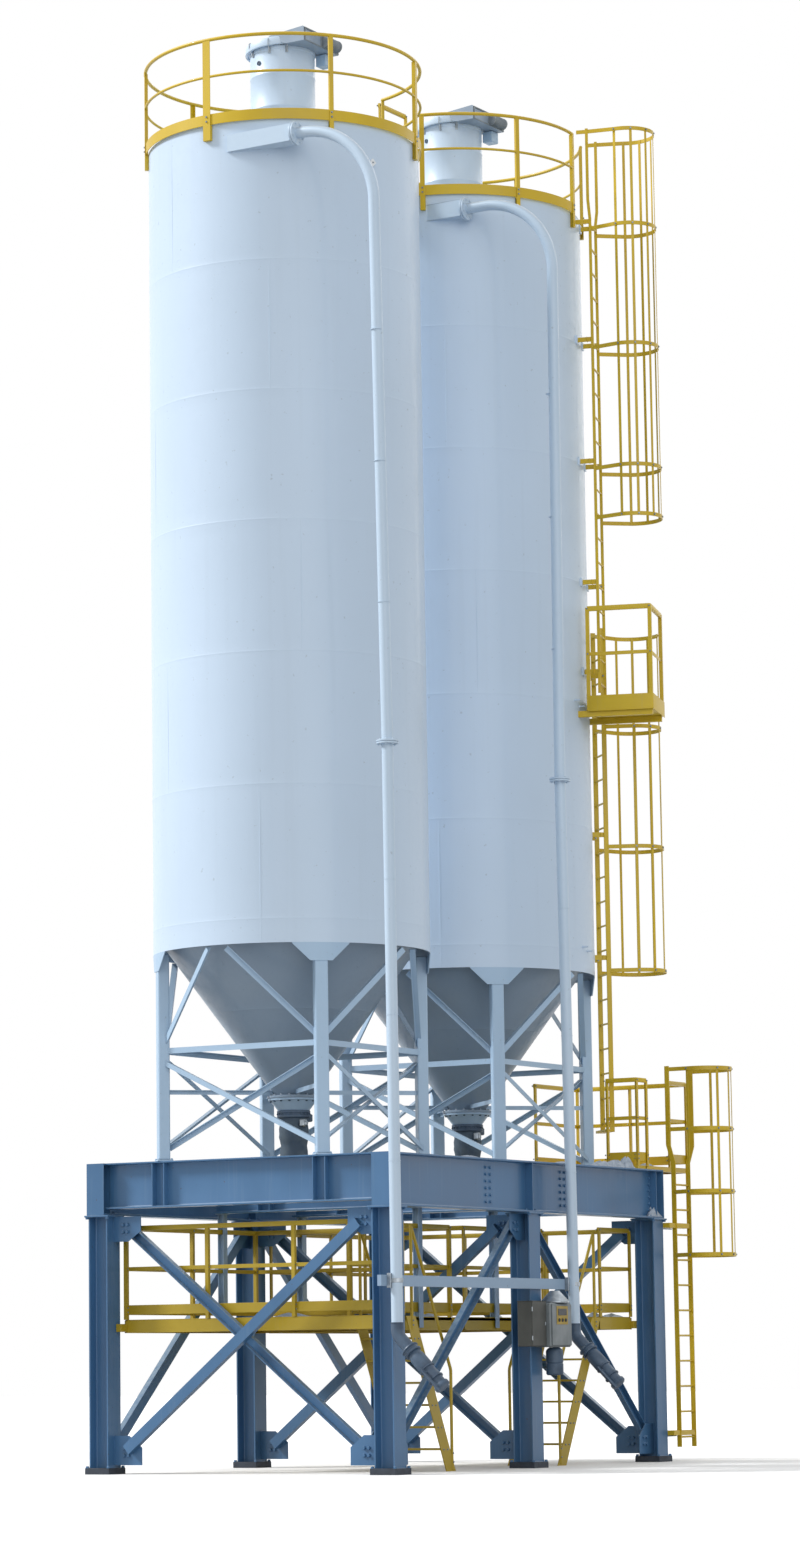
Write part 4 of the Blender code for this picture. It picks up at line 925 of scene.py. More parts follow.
def fill_pipe(p):
    """The pipe with its flange pairs, weld beads, bolts and inlet box."""
    route = pipe_route(p)[0]
    x, _, z = p["top"]
    pipe = tube(route, PIPE_R, 40, (1.0, 0.0, 0.0))
    kink = (p["kink"], PIPE_Y, KINK_Z)
    mouth = (x, p["flange"], z)
    plates = [flange_pair(kink, UP, 0.125, 0.022), flange_pair(mouth, (0, 1, 0), 0.140, 0.024)]
    bolts = [flange_bolts(kink, UP, 0.100, 0.022, 8, M12),
             flange_bolts(mouth, (0, 1, 0), 0.114, 0.024, 8, M12)]
    bead = [(-0.006, PIPE_R - 0.004), (-0.004, PIPE_R + 0.003), (0.004, PIPE_R + 0.003),
            (0.006, PIPE_R - 0.004)]
    for height in PIPE_WELDS:
        above = height > KINK_Z
        end, end_z = (x, z - BEND_R) if above else (p["low"], PIPE_FOOT)
        spot = p["kink"] + (end - p["kink"]) * (height - KINK_Z) / (end_z - KINK_Z)
        plates.append(ring_on((spot, PIPE_Y, height), UP, bead))
    return joined([pipe, inlet_box(p)] + plates + bolts)


def pipe_foot(p):
    """Elbow, coupling halves, a butterfly valve with its lever, and the end cap, down the slant."""
    _, foot, out = pipe_route(p)
    low = np.array([p["low"], PIPE_Y, 1.640])
    elbow = np.vstack([[low], bend(foot, low, foot + out, FOOT_BEND, 11), [foot + out * 0.22]])
    turned_parts = {
        0.25: [(-0.042, 0.068), (-0.040, 0.098), (-0.026, 0.104), (-0.014, 0.086), (0.012, 0.086),
               (0.024, 0.104), (0.038, 0.098), (0.040, 0.068)],
        0.40: [(-0.120, 0.070), (-0.110, 0.074), (-0.040, 0.088), (0.100, 0.088), (0.122, 0.078),
               (0.124, 0.070)],
        0.60: [(-0.085, 0.070), (-0.083, 0.092), (-0.068, 0.092), (-0.066, 0.078), (0.066, 0.078),
               (0.068, 0.092), (0.083, 0.092), (0.085, 0.070)],
        0.72: [(-0.040, 0.070), (-0.038, 0.073), (0.058, 0.073), (0.060, 0.070)],
        0.79: [(-0.036, 0.070), (-0.030, 0.086), (-0.020, 0.090), (0.006, 0.090), (0.016, 0.082),
               (0.024, 0.060)],
    }
    parts = [tube(elbow, 0.071, 32, (1.0, 0.0, 0.0)),
             ring_on(low, UP, [(-0.006, 0.071), (-0.005, 0.077), (0.005, 0.077), (0.006, 0.066)])]
    parts += [ring_on(foot + out * far, out, profile) for far, profile in turned_parts.items()]
    aside = np.array([-1.0, 0.0, 0.0])
    stem = foot + out * 0.58
    parts.append(tube([stem + aside * 0.070, stem + aside * 0.132], 0.014, 12, UP))
    flat = rounded_outline(0.012, 0.052, 0.002, 1)
    grip = [stem + aside * 0.132 - out * 0.06, stem + aside * 0.132 + out * 0.27]
    parts.append(swept(flat, grip, aside))
    return joined(parts)


# %% Pipes in place
COLUMN_FACE, CLAMP_Z = -2.0303, 2.100
for word, p in PIPES.items():
    put("pipe_" + word, fill_pipe(p), PIPE_ENAMEL, replaces=["fill_pipe_" + word])
    put("pipe_valve_" + word, pipe_foot(p), CAST_DARK)
    beam = COLUMN_FACE - 0.050
    strap = rounded_outline(0.050, 0.006, 0.002, 1)
    a = np.radians(np.linspace(0, 180, 13))
    x, hold = p["low"], PIPE_R + 0.004
    loop = np.column_stack([x + hold * np.cos(a), PIPE_Y - hold * np.sin(a)])
    loop = at_height(np.vstack([[(x + hold, beam)], loop, [(x - hold, beam)]]), CLAMP_Z)
    seat = block(x - 0.095, x + 0.095, PIPE_Y + 0.02, beam - GAP, CLAMP_Z - 0.08, CLAMP_Z + 0.08)
    put("pipe_clamp_" + word, joined([swept(strap[:, ::-1], loop), seat]), ZINC)

# %% [markdown]
# ## Roof rails
# A toe plate runs round each roof's edge, flat-bar posts stand outside it, and two round rails are
# bent to the circle. Each post's foot laps the shell and is bolted through the toe plate.

# %% Rails, toe plates and posts
RAIL_R, TOE_TALL = SILO_R + 0.030, 0.128
ROUND_RAILS = ((16.390, 0.021, 14), (15.950, 0.016, 12))
RAILS = {
    "left": dict(x=-SILO_X, doors=[(-15.0, 15.0)], toe=None,
                 posts=[(15.0, 0.05), (75.0, 0.05), (127.5, 0.05), (180.0, 0.10), (232.5, 0.05),
                        (285.0, 0.08), (345.0, 0.05)]),
    "right": dict(x=SILO_X, doors=[(-82.5, -60.0), (165.0, 195.0)], toe=(-60.0, 277.5),
                  posts=[(165.0, 0.05), (120.0, 0.05), (60.0, 0.05), (0.0, 0.05), (-60.0, 0.05),
                         (-82.5, 0.06), (-120.0, 0.05), (-162.5, 0.06)]),
}


def on_circle(x, radius, low, high, z, step=1.5):
    a = np.radians(np.arange(low, high + step / 2, step))
    return at_height(np.column_stack([x + radius * np.cos(a), radius * np.sin(a)]), z)


def rail_ring(rail):
    """Two round rails between the doors, each a tube bent to the circle."""
    ends = [d[1] for d in rail["doors"]]
    starts = [d[0] for d in rail["doors"][1:]] + [rail["doors"][0][0] + 360.0]
    return joined([tube(on_circle(rail["x"], RAIL_R, a0, a1, z), radius, sides)
                   for a0, a1 in zip(ends, starts) for z, radius, sides in ROUND_RAILS])


def toe_ring(rail):
    """A flat bar 128 mm tall on edge, bent to the circle."""
    plate = rounded_outline(0.008, TOE_TALL, 0.002, 1)
    z = SHELL_TOP + TOE_TALL / 2
    if rail["toe"] is None:
        path = on_circle(rail["x"], RAIL_R, 0.0, 358.0, z, 2.0)
        return swept(plate, path, closed=True)
    return swept(plate, on_circle(rail["x"], RAIL_R, *rail["toe"], z, 2.0))


def rail_posts(rail):
    """Flat bars on the outside of the toe plate with a folded lip, and their bolts."""
    parts, spots, ways = [], [], []
    for turn, wide in rail["posts"]:
        low = SHELL_TOP - 0.185
        away = facing(turn)
        flat = block(SILO_R + 0.036, SILO_R + 0.046, -wide / 2, wide / 2, low, 16.400, 0.002)
        lip = block(SILO_R + 0.004, SILO_R + 0.040, -wide / 2, -wide / 2 + 0.006, low, 16.372, 0.001)
        foot = block(SILO_R + 0.0005, SILO_R + 0.040, -wide / 2, wide / 2, low, SHELL_TOP - 0.006,
                     0.002)
        parts += [placed(piece, turn, rail["x"]) for piece in (flat, lip, foot)]
        for z in (SHELL_TOP + 0.040, SHELL_TOP + 0.095):
            spots.append((rail["x"], 0, z) + away * (SILO_R + 0.046))
            ways.append(away)
    return joined(parts), copies(M12, spots, ways)


# %% Roof rails in place
for word, rail in RAILS.items():
    posts, bolts = rail_posts(rail)
    put("rail_" + word, joined([rail_ring(rail), toe_ring(rail), posts]), SAFETY_YELLOW,
        replaces=["roof_rail_" + word])
    put("rail_bolts_" + word, bolts, BOLT_STEEL)

# %% [markdown]
# ## Ladders and their cages
# A stile is a flat bar stood on edge, a rung is round bar welded between two stiles, and a cage is
# flat hoops with flat uprights bolted inside them. The shapes are made in a ladder's own axes: u
# points away from the silo, v runs along a rung. One turn and one move then set each ladder.

# %% Ladder parts
MANY, FEW = (-105, -70, -35, 0, 35, 70, 105), (-105, -35, 0, 35, 105)
REST_TURN = -71.76
LADDERS = {
    "upper": dict(u=SILO_R + 0.190, depth=0.036, foot=9.330, top=16.440, bars=MANY,
                  hoops=(16.400, 15.190, 13.670, 12.140, 11.520),
                  brackets=(15.285, 13.780, 12.240, 10.720, 9.600), splay=15.330, tail=0.130,
                  reach=0.440, cage=0.352, turn=REST_TURN, at=(SILO_X, 0.0), half_top=False),
    "lower": dict(u=SILO_R + 0.196, depth=0.060, foot=4.000, top=10.280, bars=MANY,
                  hoops=(10.240, 9.035, 7.530, 5.990), brackets=(9.700, 7.680, 6.150), splay=None,
                  tail=0.0, reach=0.440, cage=0.352, turn=-43.97, at=(SILO_X, 0.0), half_top=True),
    "ground": dict(u=0.0, depth=0.060, foot=0.170, top=4.780, bars=FEW,
                   hoops=(4.740, 4.006, 3.246, 2.479), brackets=(), splay=3.620, tail=0.0,
                   reach=0.360, cage=0.330, turn=-90.0, at=(3.552, -2.100), half_top=False),
}
HALF, SPLAY, RUNG_STEP = 0.192, 0.120, 0.3048
COL_X, COL_Y, COL_W, COL_D = 3.060, 1.900, 0.254, 0.260
STUB_Z = (0.340, 2.840)


def stiles_and_rungs(ladder):
    """Two flat stiles that splay apart above the roof edge, and round rungs 305 mm apart."""
    u, flat = ladder["u"], rounded_outline(0.016, ladder["depth"], 0.002, 1)
    parts = []
    for s in (-1, 1):
        path = [(u, s * HALF, ladder["foot"]), (u, s * HALF, ladder["splay"] or ladder["top"])]
        if ladder["splay"]:
            wide, z = s * (HALF + SPLAY), ladder["splay"]
            path = path[:1] + [(u, s * HALF, z - 0.01), (u, wide, z + 0.20), (u, wide, ladder["top"])]
        parts.append(swept(flat, path, (1.0, 0.0, 0.0)))
    count = int(((ladder["splay"] or ladder["top"]) - ladder["foot"] - 0.16) / RUNG_STEP) + 1
    z = ladder["foot"] + 0.12 + RUNG_STEP * np.arange(count)
    rung = tube([(0, 0, -HALF + 0.004), (0, 0, HALF - 0.004)], 0.0125, 12, (1.0, 0.0, 0.0))
    return parts + [copies(rung, [(u, 0.0, height) for height in z], (0.0, 1.0, 0.0))]


def cage(ladder):
    """Flat hoops on a circle from -105 to 105 degrees, with uprights just inside them."""
    u, middle, radius = ladder["u"], ladder["u"] + ladder["reach"], ladder["cage"]
    parts, spots, ways = [], [], []
    for i, z in enumerate(ladder["hoops"]):
        low = 0.0 if ladder["half_top"] and i == 0 else -105.0
        a = np.radians(np.linspace(low, 105.0, 31))
        line = np.column_stack([middle + radius * np.cos(a), radius * np.sin(a)])
        hold = HALF + SPLAY if ladder["splay"] and z > ladder["splay"] + 0.1 else HALF
        ends = [(u, hold)] + ([(u - ladder["tail"], hold)] if ladder["tail"] and i == 0 else [])
        line = np.vstack([line, ends])
        if low < 0:
            line = np.vstack([np.array(ends)[::-1] * (1, -1), line])
        parts.append(swept(rounded_outline(0.009, 0.050, 0.002, 1), at_height(line, z)))
        for turn in ladder["bars"]:
            if turn >= low:
                ways.append(facing(turn))
                spots.append((middle, 0, z) + ways[-1] * (radius + 0.0045))
    for turn in ladder["bars"]:
        high = ladder["hoops"][1] if ladder["half_top"] and turn < 0 else ladder["hoops"][0]
        flat = block(-0.0105, -0.0045, -0.017, 0.017, ladder["hoops"][-1] - 0.02, high + 0.02, 0.001)
        parts.append(placed(moved(flat, radius), turn, middle))
    return parts, copies(M12, spots, ways)


def span_on(side, near, far):
    """The stretch from near to far on the plus side or the minus side, low end first."""
    return sorted((side * near, side * far))


def brackets(ladder):
    """A flat arm from each stile to a clip pad on the shell, with the pad's own bolt."""
    parts, pads, spots, ways = [], [], [], []
    u, tip = ladder["u"], ladder["u"] + ladder["depth"] / 2 - 0.004
    for z in ladder["brackets"]:
        tall = (z - 0.03, z + 0.03, 0.002)
        for s in (-1, 1):
            parts.append(block(SILO_R - 0.010, tip, *span_on(s, HALF - 0.008, HALF - 0.016), *tall))
            parts.append(block(u - 0.075, u - 0.063, *span_on(s, 0.150, 0.196), *tall))
            pads.append(block(SILO_R - 0.030, SILO_R + 0.006, *span_on(s, 0.140, 0.232),
                              z - 0.050, z + 0.050, 0.003))
            spots.append((u - 0.02, s * (HALF - 0.016), z))
            ways.append((0.0, -s, 0.0))
    return parts, pads, copies(M12, spots, ways)


# %% Ladders in place
for word, ladder in LADDERS.items():
    hoops, bolts = cage(ladder)
    arms, pads, arm_bolts = [], [], []
    if ladder["brackets"]:
        arms, pads, fixings = brackets(ladder)
        arm_bolts = [fixings]
    if word == "lower":
        arms.append(block(ladder["u"] - 0.090, ladder["u"] + 0.020, -HALF - 0.010, HALF + 0.010,
                          ladder["foot"], ladder["foot"] + 0.032, 0.002))
    if word == "ground":
        flank = COL_X + COL_W / 2 + 0.0005 - ladder["at"][0]
        arms = [block(-0.105, 0.02, flank, 0.205, z - 0.03, z + 0.03, 0.002) for z in STUB_Z]
    pieces = (("climb_", stiles_and_rungs(ladder) + hoops + arms, SAFETY_YELLOW),
              ("climb_bolts_", [bolts] + arm_bolts, BOLT_STEEL),
              ("clip_pads_", pads, SILO_ENAMEL))
    for start, shapes, finish in pieces:
        if shapes:
            put(start + word, placed(joined(shapes), ladder["turn"], *ladder["at"]), finish,
                replaces=["ladder_" + word] if start == "climb_" else ())

# %% [markdown]
# ## Railings
# Every platform has the same railing: posts of folded flat bar, a deep top rail, a thin middle rail
# and a toe board, all bolted. One function makes a run of it from its corner points.

# %% Railing maker
FOLDED = np.array([(-0.022, -0.022), (0.022, -0.022), (0.022, -0.016), (-0.016, -0.016),
                   (-0.016, 0.022), (-0.022, 0.022)])


def railing(line, z0, tall, toe=True, deep=0.055, posts=None):
    """Posts at the points; a top rail, a middle rail and a toe board follow the line between them."""
    middle_at, top_at = tall * 0.52 + 0.022, tall - deep / 2
    parts = [swept(rounded_outline(0.036, deep, 0.006), at_height(line, z0 + top_at)),
             swept(rounded_outline(0.010, 0.045, 0.002, 1), at_height(line, z0 + middle_at))]
    if toe:
        parts.append(swept(rounded_outline(0.006, 0.110, 0.002, 1), at_height(line, z0 + 0.110)))
    spots, ways = [], []
    for x, y in posts or line:
        parts.append(straight(FOLDED, (x, y, z0), (x, y, z0 + tall - 0.02), hint=(0.0, 1.0, 0.0)))
        for height in ((0.085, 0.135) if toe else ()) + (middle_at, top_at):
            spots += [(x, y - 0.023, z0 + height), (x, y + 0.023, z0 + height)]
            ways += [(0.0, -1.0, 0.0), (0.0, 1.0, 0.0)]
    return parts, copies(M10, spots, ways)


# %% [markdown]
# ## Platforms, decks, stairs and the bridge
# The rest platform hangs on the shell, the landing sits on the stand's corner, and two working
# decks hang under the hoppers, each with a stair. Their floors are plate on bearers inside a frame
# of channel, so from below, where the photograph looks, the bearers show.

# %% Floors, frames and treads
def channel(deep, wide, thick=0.006):
    """A C section: a web deep high with two flanges that reach to one side."""
    half, inner = deep / 2, deep / 2 - thick
    return np.array([(0, -half), (wide, -half), (wide, -inner), (thick, -inner), (thick, inner),
                     (wide, inner), (wide, half), (0, half)])


def eased(line, r=0.012):
    """Each inner corner becomes three points on a small curve, so a swept bar keeps its width."""
    line = np.asarray(line, float)
    out = [line[:1]]
    for a, c, b in zip(line[:-2], line[1:-1], line[2:]):
        p = c + (a - c) / np.linalg.norm(a - c) * r
        q = c + (b - c) / np.linalg.norm(b - c) * r
        out.append(np.stack([p, (p + 2 * c + q) / 4, q]))
    return np.vstack(out + [line[-1:]])


def decking(x0, x1, y0, y1, top, deep, bearers):
    """A plate on a frame of channel, with flat bearers under it, all below top."""
    parts = [block(x0 + 0.002, x1 - 0.002, y0 + 0.002, y1 - 0.002, top - 0.008, top, 0.002)]
    mid = top - 0.008 - deep / 2
    c = channel(deep, 0.040) * (-1, 1)
    corners = [(x0, y0), (x1, y0), (x1, y1), (x0, y1)]
    for (ax, ay), (bx, by) in zip(corners, corners[1:] + corners[:1]):
        parts.append(straight(c, (ax, ay, mid), (bx, by, mid)))
    for x in np.linspace(x0, x1, bearers + 2)[1:-1]:
        parts.append(block(x - 0.004, x + 0.004, y0 + 0.006, y1 - 0.006, mid - deep * 0.35,
                           top - 0.008, 0.001))
    return parts


def tread(x, y0, y1, z):
    """A folded step: a plate with lips turned down at front and back."""
    lip = np.array([(-0.085, -0.012), (-0.080, -0.012), (-0.080, 0.007), (0.080, 0.007),
                    (0.080, -0.012), (0.085, -0.012), (0.085, 0.012), (-0.085, 0.012)])
    return cut_plate(lip + (x, z), y0, y1, 1)


# %% Rest platform and landing in place
REST_TOP = 9.095
U0, U1, V0, V1 = SILO_R + 0.060, SILO_R + 0.893, -0.420, 0.410
posts = [(U0 + 0.03, V0 + 0.03), (U1 - 0.03, V0 + 0.03), (U1 - 0.03, V1 - 0.03)]
rails, bolts = railing(eased(posts), REST_TOP, 1.284, toe=False, deep=0.062, posts=posts)
toe = eased([(U0 + 0.02, V1 - 0.005), (U0 + 0.02, V0 + 0.005), (U1 - 0.005, V0 + 0.005),
             (U1 - 0.005, V1 - 0.005)])
rest = [swept(rounded_outline(0.008, 0.194, 0.002, 1), at_height(toe, REST_TOP + 0.075)),
        block(U0, U1, V0, V1, REST_TOP - 0.008, REST_TOP, 0.002)]
for v in (-0.36, 0.30):
    rest.append(block(SILO_R - 0.06, U1 - 0.02, v - 0.025, v + 0.025, REST_TOP - 0.085,
                      REST_TOP - 0.008))
put("rest_deck", placed(joined(rest + rails), REST_TURN, SILO_X), SAFETY_YELLOW,
    replaces=["rest_platform"])
put("rest_bolts", placed(bolts, REST_TURN, SILO_X), BOLT_STEEL)

STAND_DECK = 3.575
land = decking(3.225, 4.370, -1.800, -0.200, STAND_DECK, 0.052, 4)
land.append(block(3.020, 3.300, -1.790, -1.340, STAND_DECK - 0.0615, STAND_DECK - 0.001, 0.003))
bolt_sets = []
for line in ([(3.045, -1.36), (3.045, -1.77), (3.290, -1.77)],
             [(3.880, -1.77), (4.345, -1.77), (4.345, -0.98), (4.345, -0.225), (3.260, -0.225)]):
    rails, bolts = railing(eased(line), STAND_DECK, 1.073, posts=line)
    land += rails
    bolt_sets.append(bolts)
put("landing", joined(land), SAFETY_YELLOW, replaces=["stand_platform"])
put("landing_bolts", joined(bolt_sets), BOLT_STEEL)


# %% Working decks
DECK_TOP, DECK_LOW, RAIL_UP, BACK = 1.737, 1.587, 1.070, 1.750
LEG_TURN = np.radians(44.475)
LEG_X, LEG_Y = (SILO_R - 0.0584) * np.cos(LEG_TURN), (SILO_R - 0.0584) * np.sin(LEG_TURN)
CROSS_LOW = 2.992


def deck(gate):
    """The right deck: floor, edge channels, railings and side brackets; its hangers come apart."""
    x0, x1, front, mouth = 0.130, 2.910, -1.725, -0.985
    inner, rear = x1 - 0.015, BACK - 0.015
    parts = decking(x0 + 0.02, x1 - 0.02, mouth, rear, DECK_TOP, 0.032, 6)
    parts += decking(gate + 0.025, x1 - 0.02, -1.715, mouth, DECK_TOP, 0.032, 1)
    z = (DECK_LOW + DECK_TOP - 0.010) / 2
    edge = [(x0 + 0.015, mouth), (x0 + 0.015, rear), (inner, rear), (inner, front),
            (gate + 0.015, front), (gate + 0.015, mouth), (x0 + 0.015, mouth)]
    for a, b in zip(edge[:-1], edge[1:]):
        parts.append(straight(channel(0.140, 0.030), (*a, z), (*b, z)))
    mid, low_x, high_x = (x0 + x1) / 2, x0 + 0.03, x1 - 0.03
    posts = [(gate - 0.03, -0.97), (mid, -0.97), (low_x, -0.97), (low_x, 0.39), (low_x, BACK - 0.03),
             (mid, BACK - 0.03), (high_x, BACK - 0.03), (high_x, 0.60), (high_x, -0.56),
             (high_x, -1.71), (gate + 0.05, -1.71)]
    rails, bolts = railing(eased(posts), DECK_TOP, RAIL_UP - 0.005, posts=posts)
    for y0, y1 in ((-1.7697, -1.700), (1.700, 1.7697)):
        parts.append(block(x1 - 0.05, x1 + 0.11, y0, y1, 1.600, 1.690))
    hang, cap_low, cap_top = SILO_X - LEG_X, CROSS_LOW - 0.012, CROSS_LOW - 0.0004
    hangers = []
    for y in (-0.975, BACK - 0.030):
        post = rolled_h(0.080, 0.090, 0.006, 0.008, 0.008, 2)
        hangers.append(straight(post, (hang, y, 1.612), (hang, y, cap_low), hint=(0, 1, 0)))
        hangers.append(block(hang - 0.070, hang + 0.070, y - 0.055, y + 0.055, cap_low, cap_top, 0.002))
    return parts + rails, bolts, hangers


def flipped(shape, side):
    """The shape as it is for side 1, and its mirror image in the plane X = 0 for side -1."""
    return shape[0] * (side, 1.0, 1.0), shape[1]


for word, gate, side in (("left", 2.400, -1.0), ("right", 2.070, 1.0)):
    parts, bolts, hangers = deck(gate)
    # The deck floors take the darker yellow copy, which is painted shade.
    put("deck_floor_" + word, flipped(joined(parts), side), SHADE_DARKENED_YELLOW,
        replaces=["deck_" + word])
    put("deck_bolts_" + word, flipped(bolts, side), BOLT_STEEL)
    put("deck_hangers_" + word, flipped(joined(hangers), side), HANGER_BLUE)


# %% Stairs and the bridge
def stair(x_top, x_low, y0, y1):
    """Flat stringers, folded treads and a round handrail on each side."""
    side = 1 if x_low > x_top else -1
    tall, half = DECK_TOP - 0.010, 0.100
    parts, spots = [], []
    for y in (y0, y1):
        outline = [(x_low - half, 0.0), (x_low + half, 0.0), (x_top + half, tall), (x_top - half, tall)]
        parts.append(cut_plate(outline, y - 0.006, y + 0.006, 1))
        low = np.array([x_low + side * 0.03, y, 0.020])
        high = np.array([x_top + side * 0.03, y, tall - 0.15])
        rail = [low, low + (0, 0, 1.09), low + (side * -0.006, 0, 1.120),
                high + (side * 0.012, 0, 1.135), high + (0, 0, 1.163), high]
        parts.append(tube(rail, 0.018, 14, (0.0, 1.0, 0.0)))
        for x, z in ((low[0], 0.10), (low[0], 0.20), (high[0], tall - 0.10), (high[0], tall - 0.05)):
            spots.append((x, y + (0.018 if y == y1 else -0.018), z))
    for i in range(1, 7):
        x, z = x_low + (x_top - x_low) * i / 7, tall * i / 7
        parts.append(tread(x, y0 + 0.005, y1 - 0.005, z))
        for y in (y0 - 0.006, y1 + 0.006):
            spots += [(x - 0.04, y, z - 0.004), (x + 0.04, y, z - 0.004)]
    ways = np.array([(0.0, -1.0 if p[1] < (y0 + y1) / 2 else 1.0, 0.0) for p in spots])
    return joined(parts), copies(M10, spots, ways)


for word, x_top, x_low in (("left", -2.3147, -1.480), ("right", 1.9847, 1.080)):
    flight, bolts = stair(x_top, x_low, -1.730, -1.060)
    # The flights take the darker yellow copy, which is painted shade.
    put("flight_" + word, flight, SHADE_DARKENED_YELLOW, replaces=["stair_" + word])
    put("flight_bolts_" + word, bolts, BOLT_STEEL)

REACH = SILO_X - SILO_R - 0.0343
span = decking(-REACH, REACH, -0.340, 0.340, 15.430, 0.022, 2)
bolt_sets = []
for y in (-0.320, 0.320):
    rails, bolts = railing([(0.04 - REACH, y), (REACH - 0.04, y)], 15.429, 0.966, toe=False)
    span += rails
    bolt_sets.append(bolts)
put("crossover", joined(span), SAFETY_YELLOW, replaces=["roof_bridge"])
put("crossover_bolts", joined(bolt_sets), BOLT_STEEL)

# %% [markdown]
# ## The stand
# Columns, girders and cross beams are hot-rolled H sections, so each inner corner has a root fillet
# and each flange tip is eased. One outline carried along a line makes any of them. Base, cap, end
# and gusset plates are flat, and what joins them is bolts: a frame like this is bolted on site.

# %% Columns
BASE_T, BASE_W, GIRDER_LOW, GIRDER_TOP, GIRDER_Y = 0.070, 0.333, 2.924, 3.513, 1.915
GUSSET_HALF = 0.006
M24 = hexagon(0.036, 0.019)
SIDE_X, SIDE_Y = (1.0, 0.0, 0.0), (0.0, 1.0, 0.0)


def gusset(base, reach, z0, z1, low_end):
    """A plate against an upright edge whose far corner is cut off at a slant."""
    cut = 0.4 * (z1 - z0)
    tip = base + reach
    if low_end:
        return [(base, z0), (tip, z0), (tip, z1 - cut), (base + 0.55 * reach, z1), (base, z1)]
    return [(base, z0), (base + 0.55 * reach, z0), (tip, z0 + cut), (tip, z1), (base, z1)]


def column(x, y, sides):
    """An H column with its plates and gussets, and where its bolts sit with the way each looks."""
    top = GIRDER_LOW - GAP
    high, half_d = top - 0.020, COL_D / 2
    section = rolled_h(COL_D, COL_W, 0.012, 0.018, 0.016)
    parts = [straight(section, (x, y, BASE_T - 0.002), (x, y, high + 0.002), hint=SIDE_Y),
             block(x - 0.165, x + 0.165, y - 0.165, y + 0.165, high, top, 0.003)]
    weld = tube([(0, 0, -COL_W / 2), (0, 0, COL_W / 2)], 0.006, 8, SIDE_X)
    corners = [(x, y + s * half_d, z) for s in (-1, 1) for z in (BASE_T, high)]
    parts.append(copies(weld, corners, SIDE_X))
    inward = -1 if y > 0 else 1
    spots, ways = [], []
    for z0, z1, low_end in ((0.100, 0.430, True), (2.620, high, False)):
        plate = np.array(gusset(half_d - 0.01, 0.390, z0, z1, low_end)) * (inward, 1) + (y, 0)
        parts.append(cut_plate(plate, x - GUSSET_HALF, x + GUSSET_HALF, 0))
        for k in range(4):
            along, up = half_d + 0.14 + 0.06 * (k % 2), z0 + 0.11 + 0.08 * (k // 2)
            for s in (-1, 1):
                spots.append((x + s * GUSSET_HALF, y + inward * along, up))
                ways.append((s, 0.0, 0.0))
    for side, z0, z1 in sides:
        plate = np.array(gusset(0.0, 0.360, z0, z1, z0 < 1)) * (side, 1) + (x, 0)
        parts.append(cut_plate(plate, y - GUSSET_HALF, y + GUSSET_HALF, 1))
        for k in range(4):
            for s in (-1, 1):
                spots.append((x + side * (0.20 + 0.07 * (k % 2)), y + s * GUSSET_HALF,
                              z0 + 0.12 + 0.08 * (k // 2)))
                ways.append((0.0, s, 0.0))
    for sx in (-1, 1):
        for sy in (-1, 1):
            spots.append((x + sx * 0.145, y + sy * 0.145, BASE_T))
            ways.append(UP)
            spots.append((x + sx * 0.140, y + sy * 0.140, high))
            ways.append(DOWN)
    return joined(parts), copies(M24, spots, ways)


# %% Columns in place
for row, y in (("front", -COL_Y), ("back", COL_Y)):
    for word, x in (("left", -COL_X), ("middle", 0.0), ("right", COL_X)):
        sides = [(-1, 2.600, 2.904), (1, 2.600, 2.904)]
        if x != 0:
            sides = [(-np.sign(x), 0.100, 0.460)]
        body, bolts = column(x, y, sides)
        put(f"post_{row}_{word}", body, STAND_BLUE, replaces=[f"column_{row}_{word}"])
        put(f"post_bolts_{row}_{word}", bolts, STAND_BLUE)
        w = BASE_W / 2
        # The base plate's near-black colour is painted shade.
        put(f"post_base_{row}_{word}", block(x - w, x + w, y - w, y + w, 0.0, BASE_T, 0.004),
            SHADED_BASE_PLATE)

# %% Girders, cross beams and their bolts
GIRDER_HALF = 3.206
CROSS_AT = {"outer_left": -SILO_X - LEG_X, "inner_left": -SILO_X + LEG_X,
            "inner_right": SILO_X - LEG_X, "outer_right": SILO_X + LEG_X}


def girder(y):
    """A deep H beam along X with end plates and stiffeners over the columns."""
    tall = GIRDER_TOP - GIRDER_LOW
    mid = (GIRDER_TOP + GIRDER_LOW) / 2
    section = rolled_h(tall, 0.230, 0.013, 0.020, 0.022)
    parts = [straight(section, (-GIRDER_HALF, y, mid), (GIRDER_HALF, y, mid))]
    for s in (-1, 1):
        parts.append(block(*span_on(s, GIRDER_HALF, GIRDER_HALF + 0.012), y - 0.119, y + 0.119,
                           GIRDER_LOW, GIRDER_TOP, 0.002))
    for x in (-COL_X, 0.0, COL_X):
        for s in (-1, 1):
            parts.append(block(x - 0.006, x + 0.006, *sorted((y + s * 0.005, y + s * 0.103)),
                               GIRDER_LOW + 0.019, GIRDER_TOP - 0.019, 0.001))
    return joined(parts)


def cross_beam(x):
    """A smaller H beam between the girders, stiffened under each silo leg."""
    reach = GIRDER_Y - 0.115 - GAP
    mid = (GIRDER_TOP + CROSS_LOW) / 2
    section = rolled_h(GIRDER_TOP - CROSS_LOW, 0.200, 0.012, 0.018, 0.018)
    parts = [straight(section, (x, -reach, mid), (x, reach, mid))]
    for y in (-LEG_Y - 0.08, -LEG_Y + 0.08, LEG_Y - 0.08, LEG_Y + 0.08):
        parts.append(block(x - 0.092, x + 0.092, y - 0.006, y + 0.006, CROSS_LOW + 0.017,
                           GIRDER_TOP - 0.017, 0.001))
    return joined(parts)


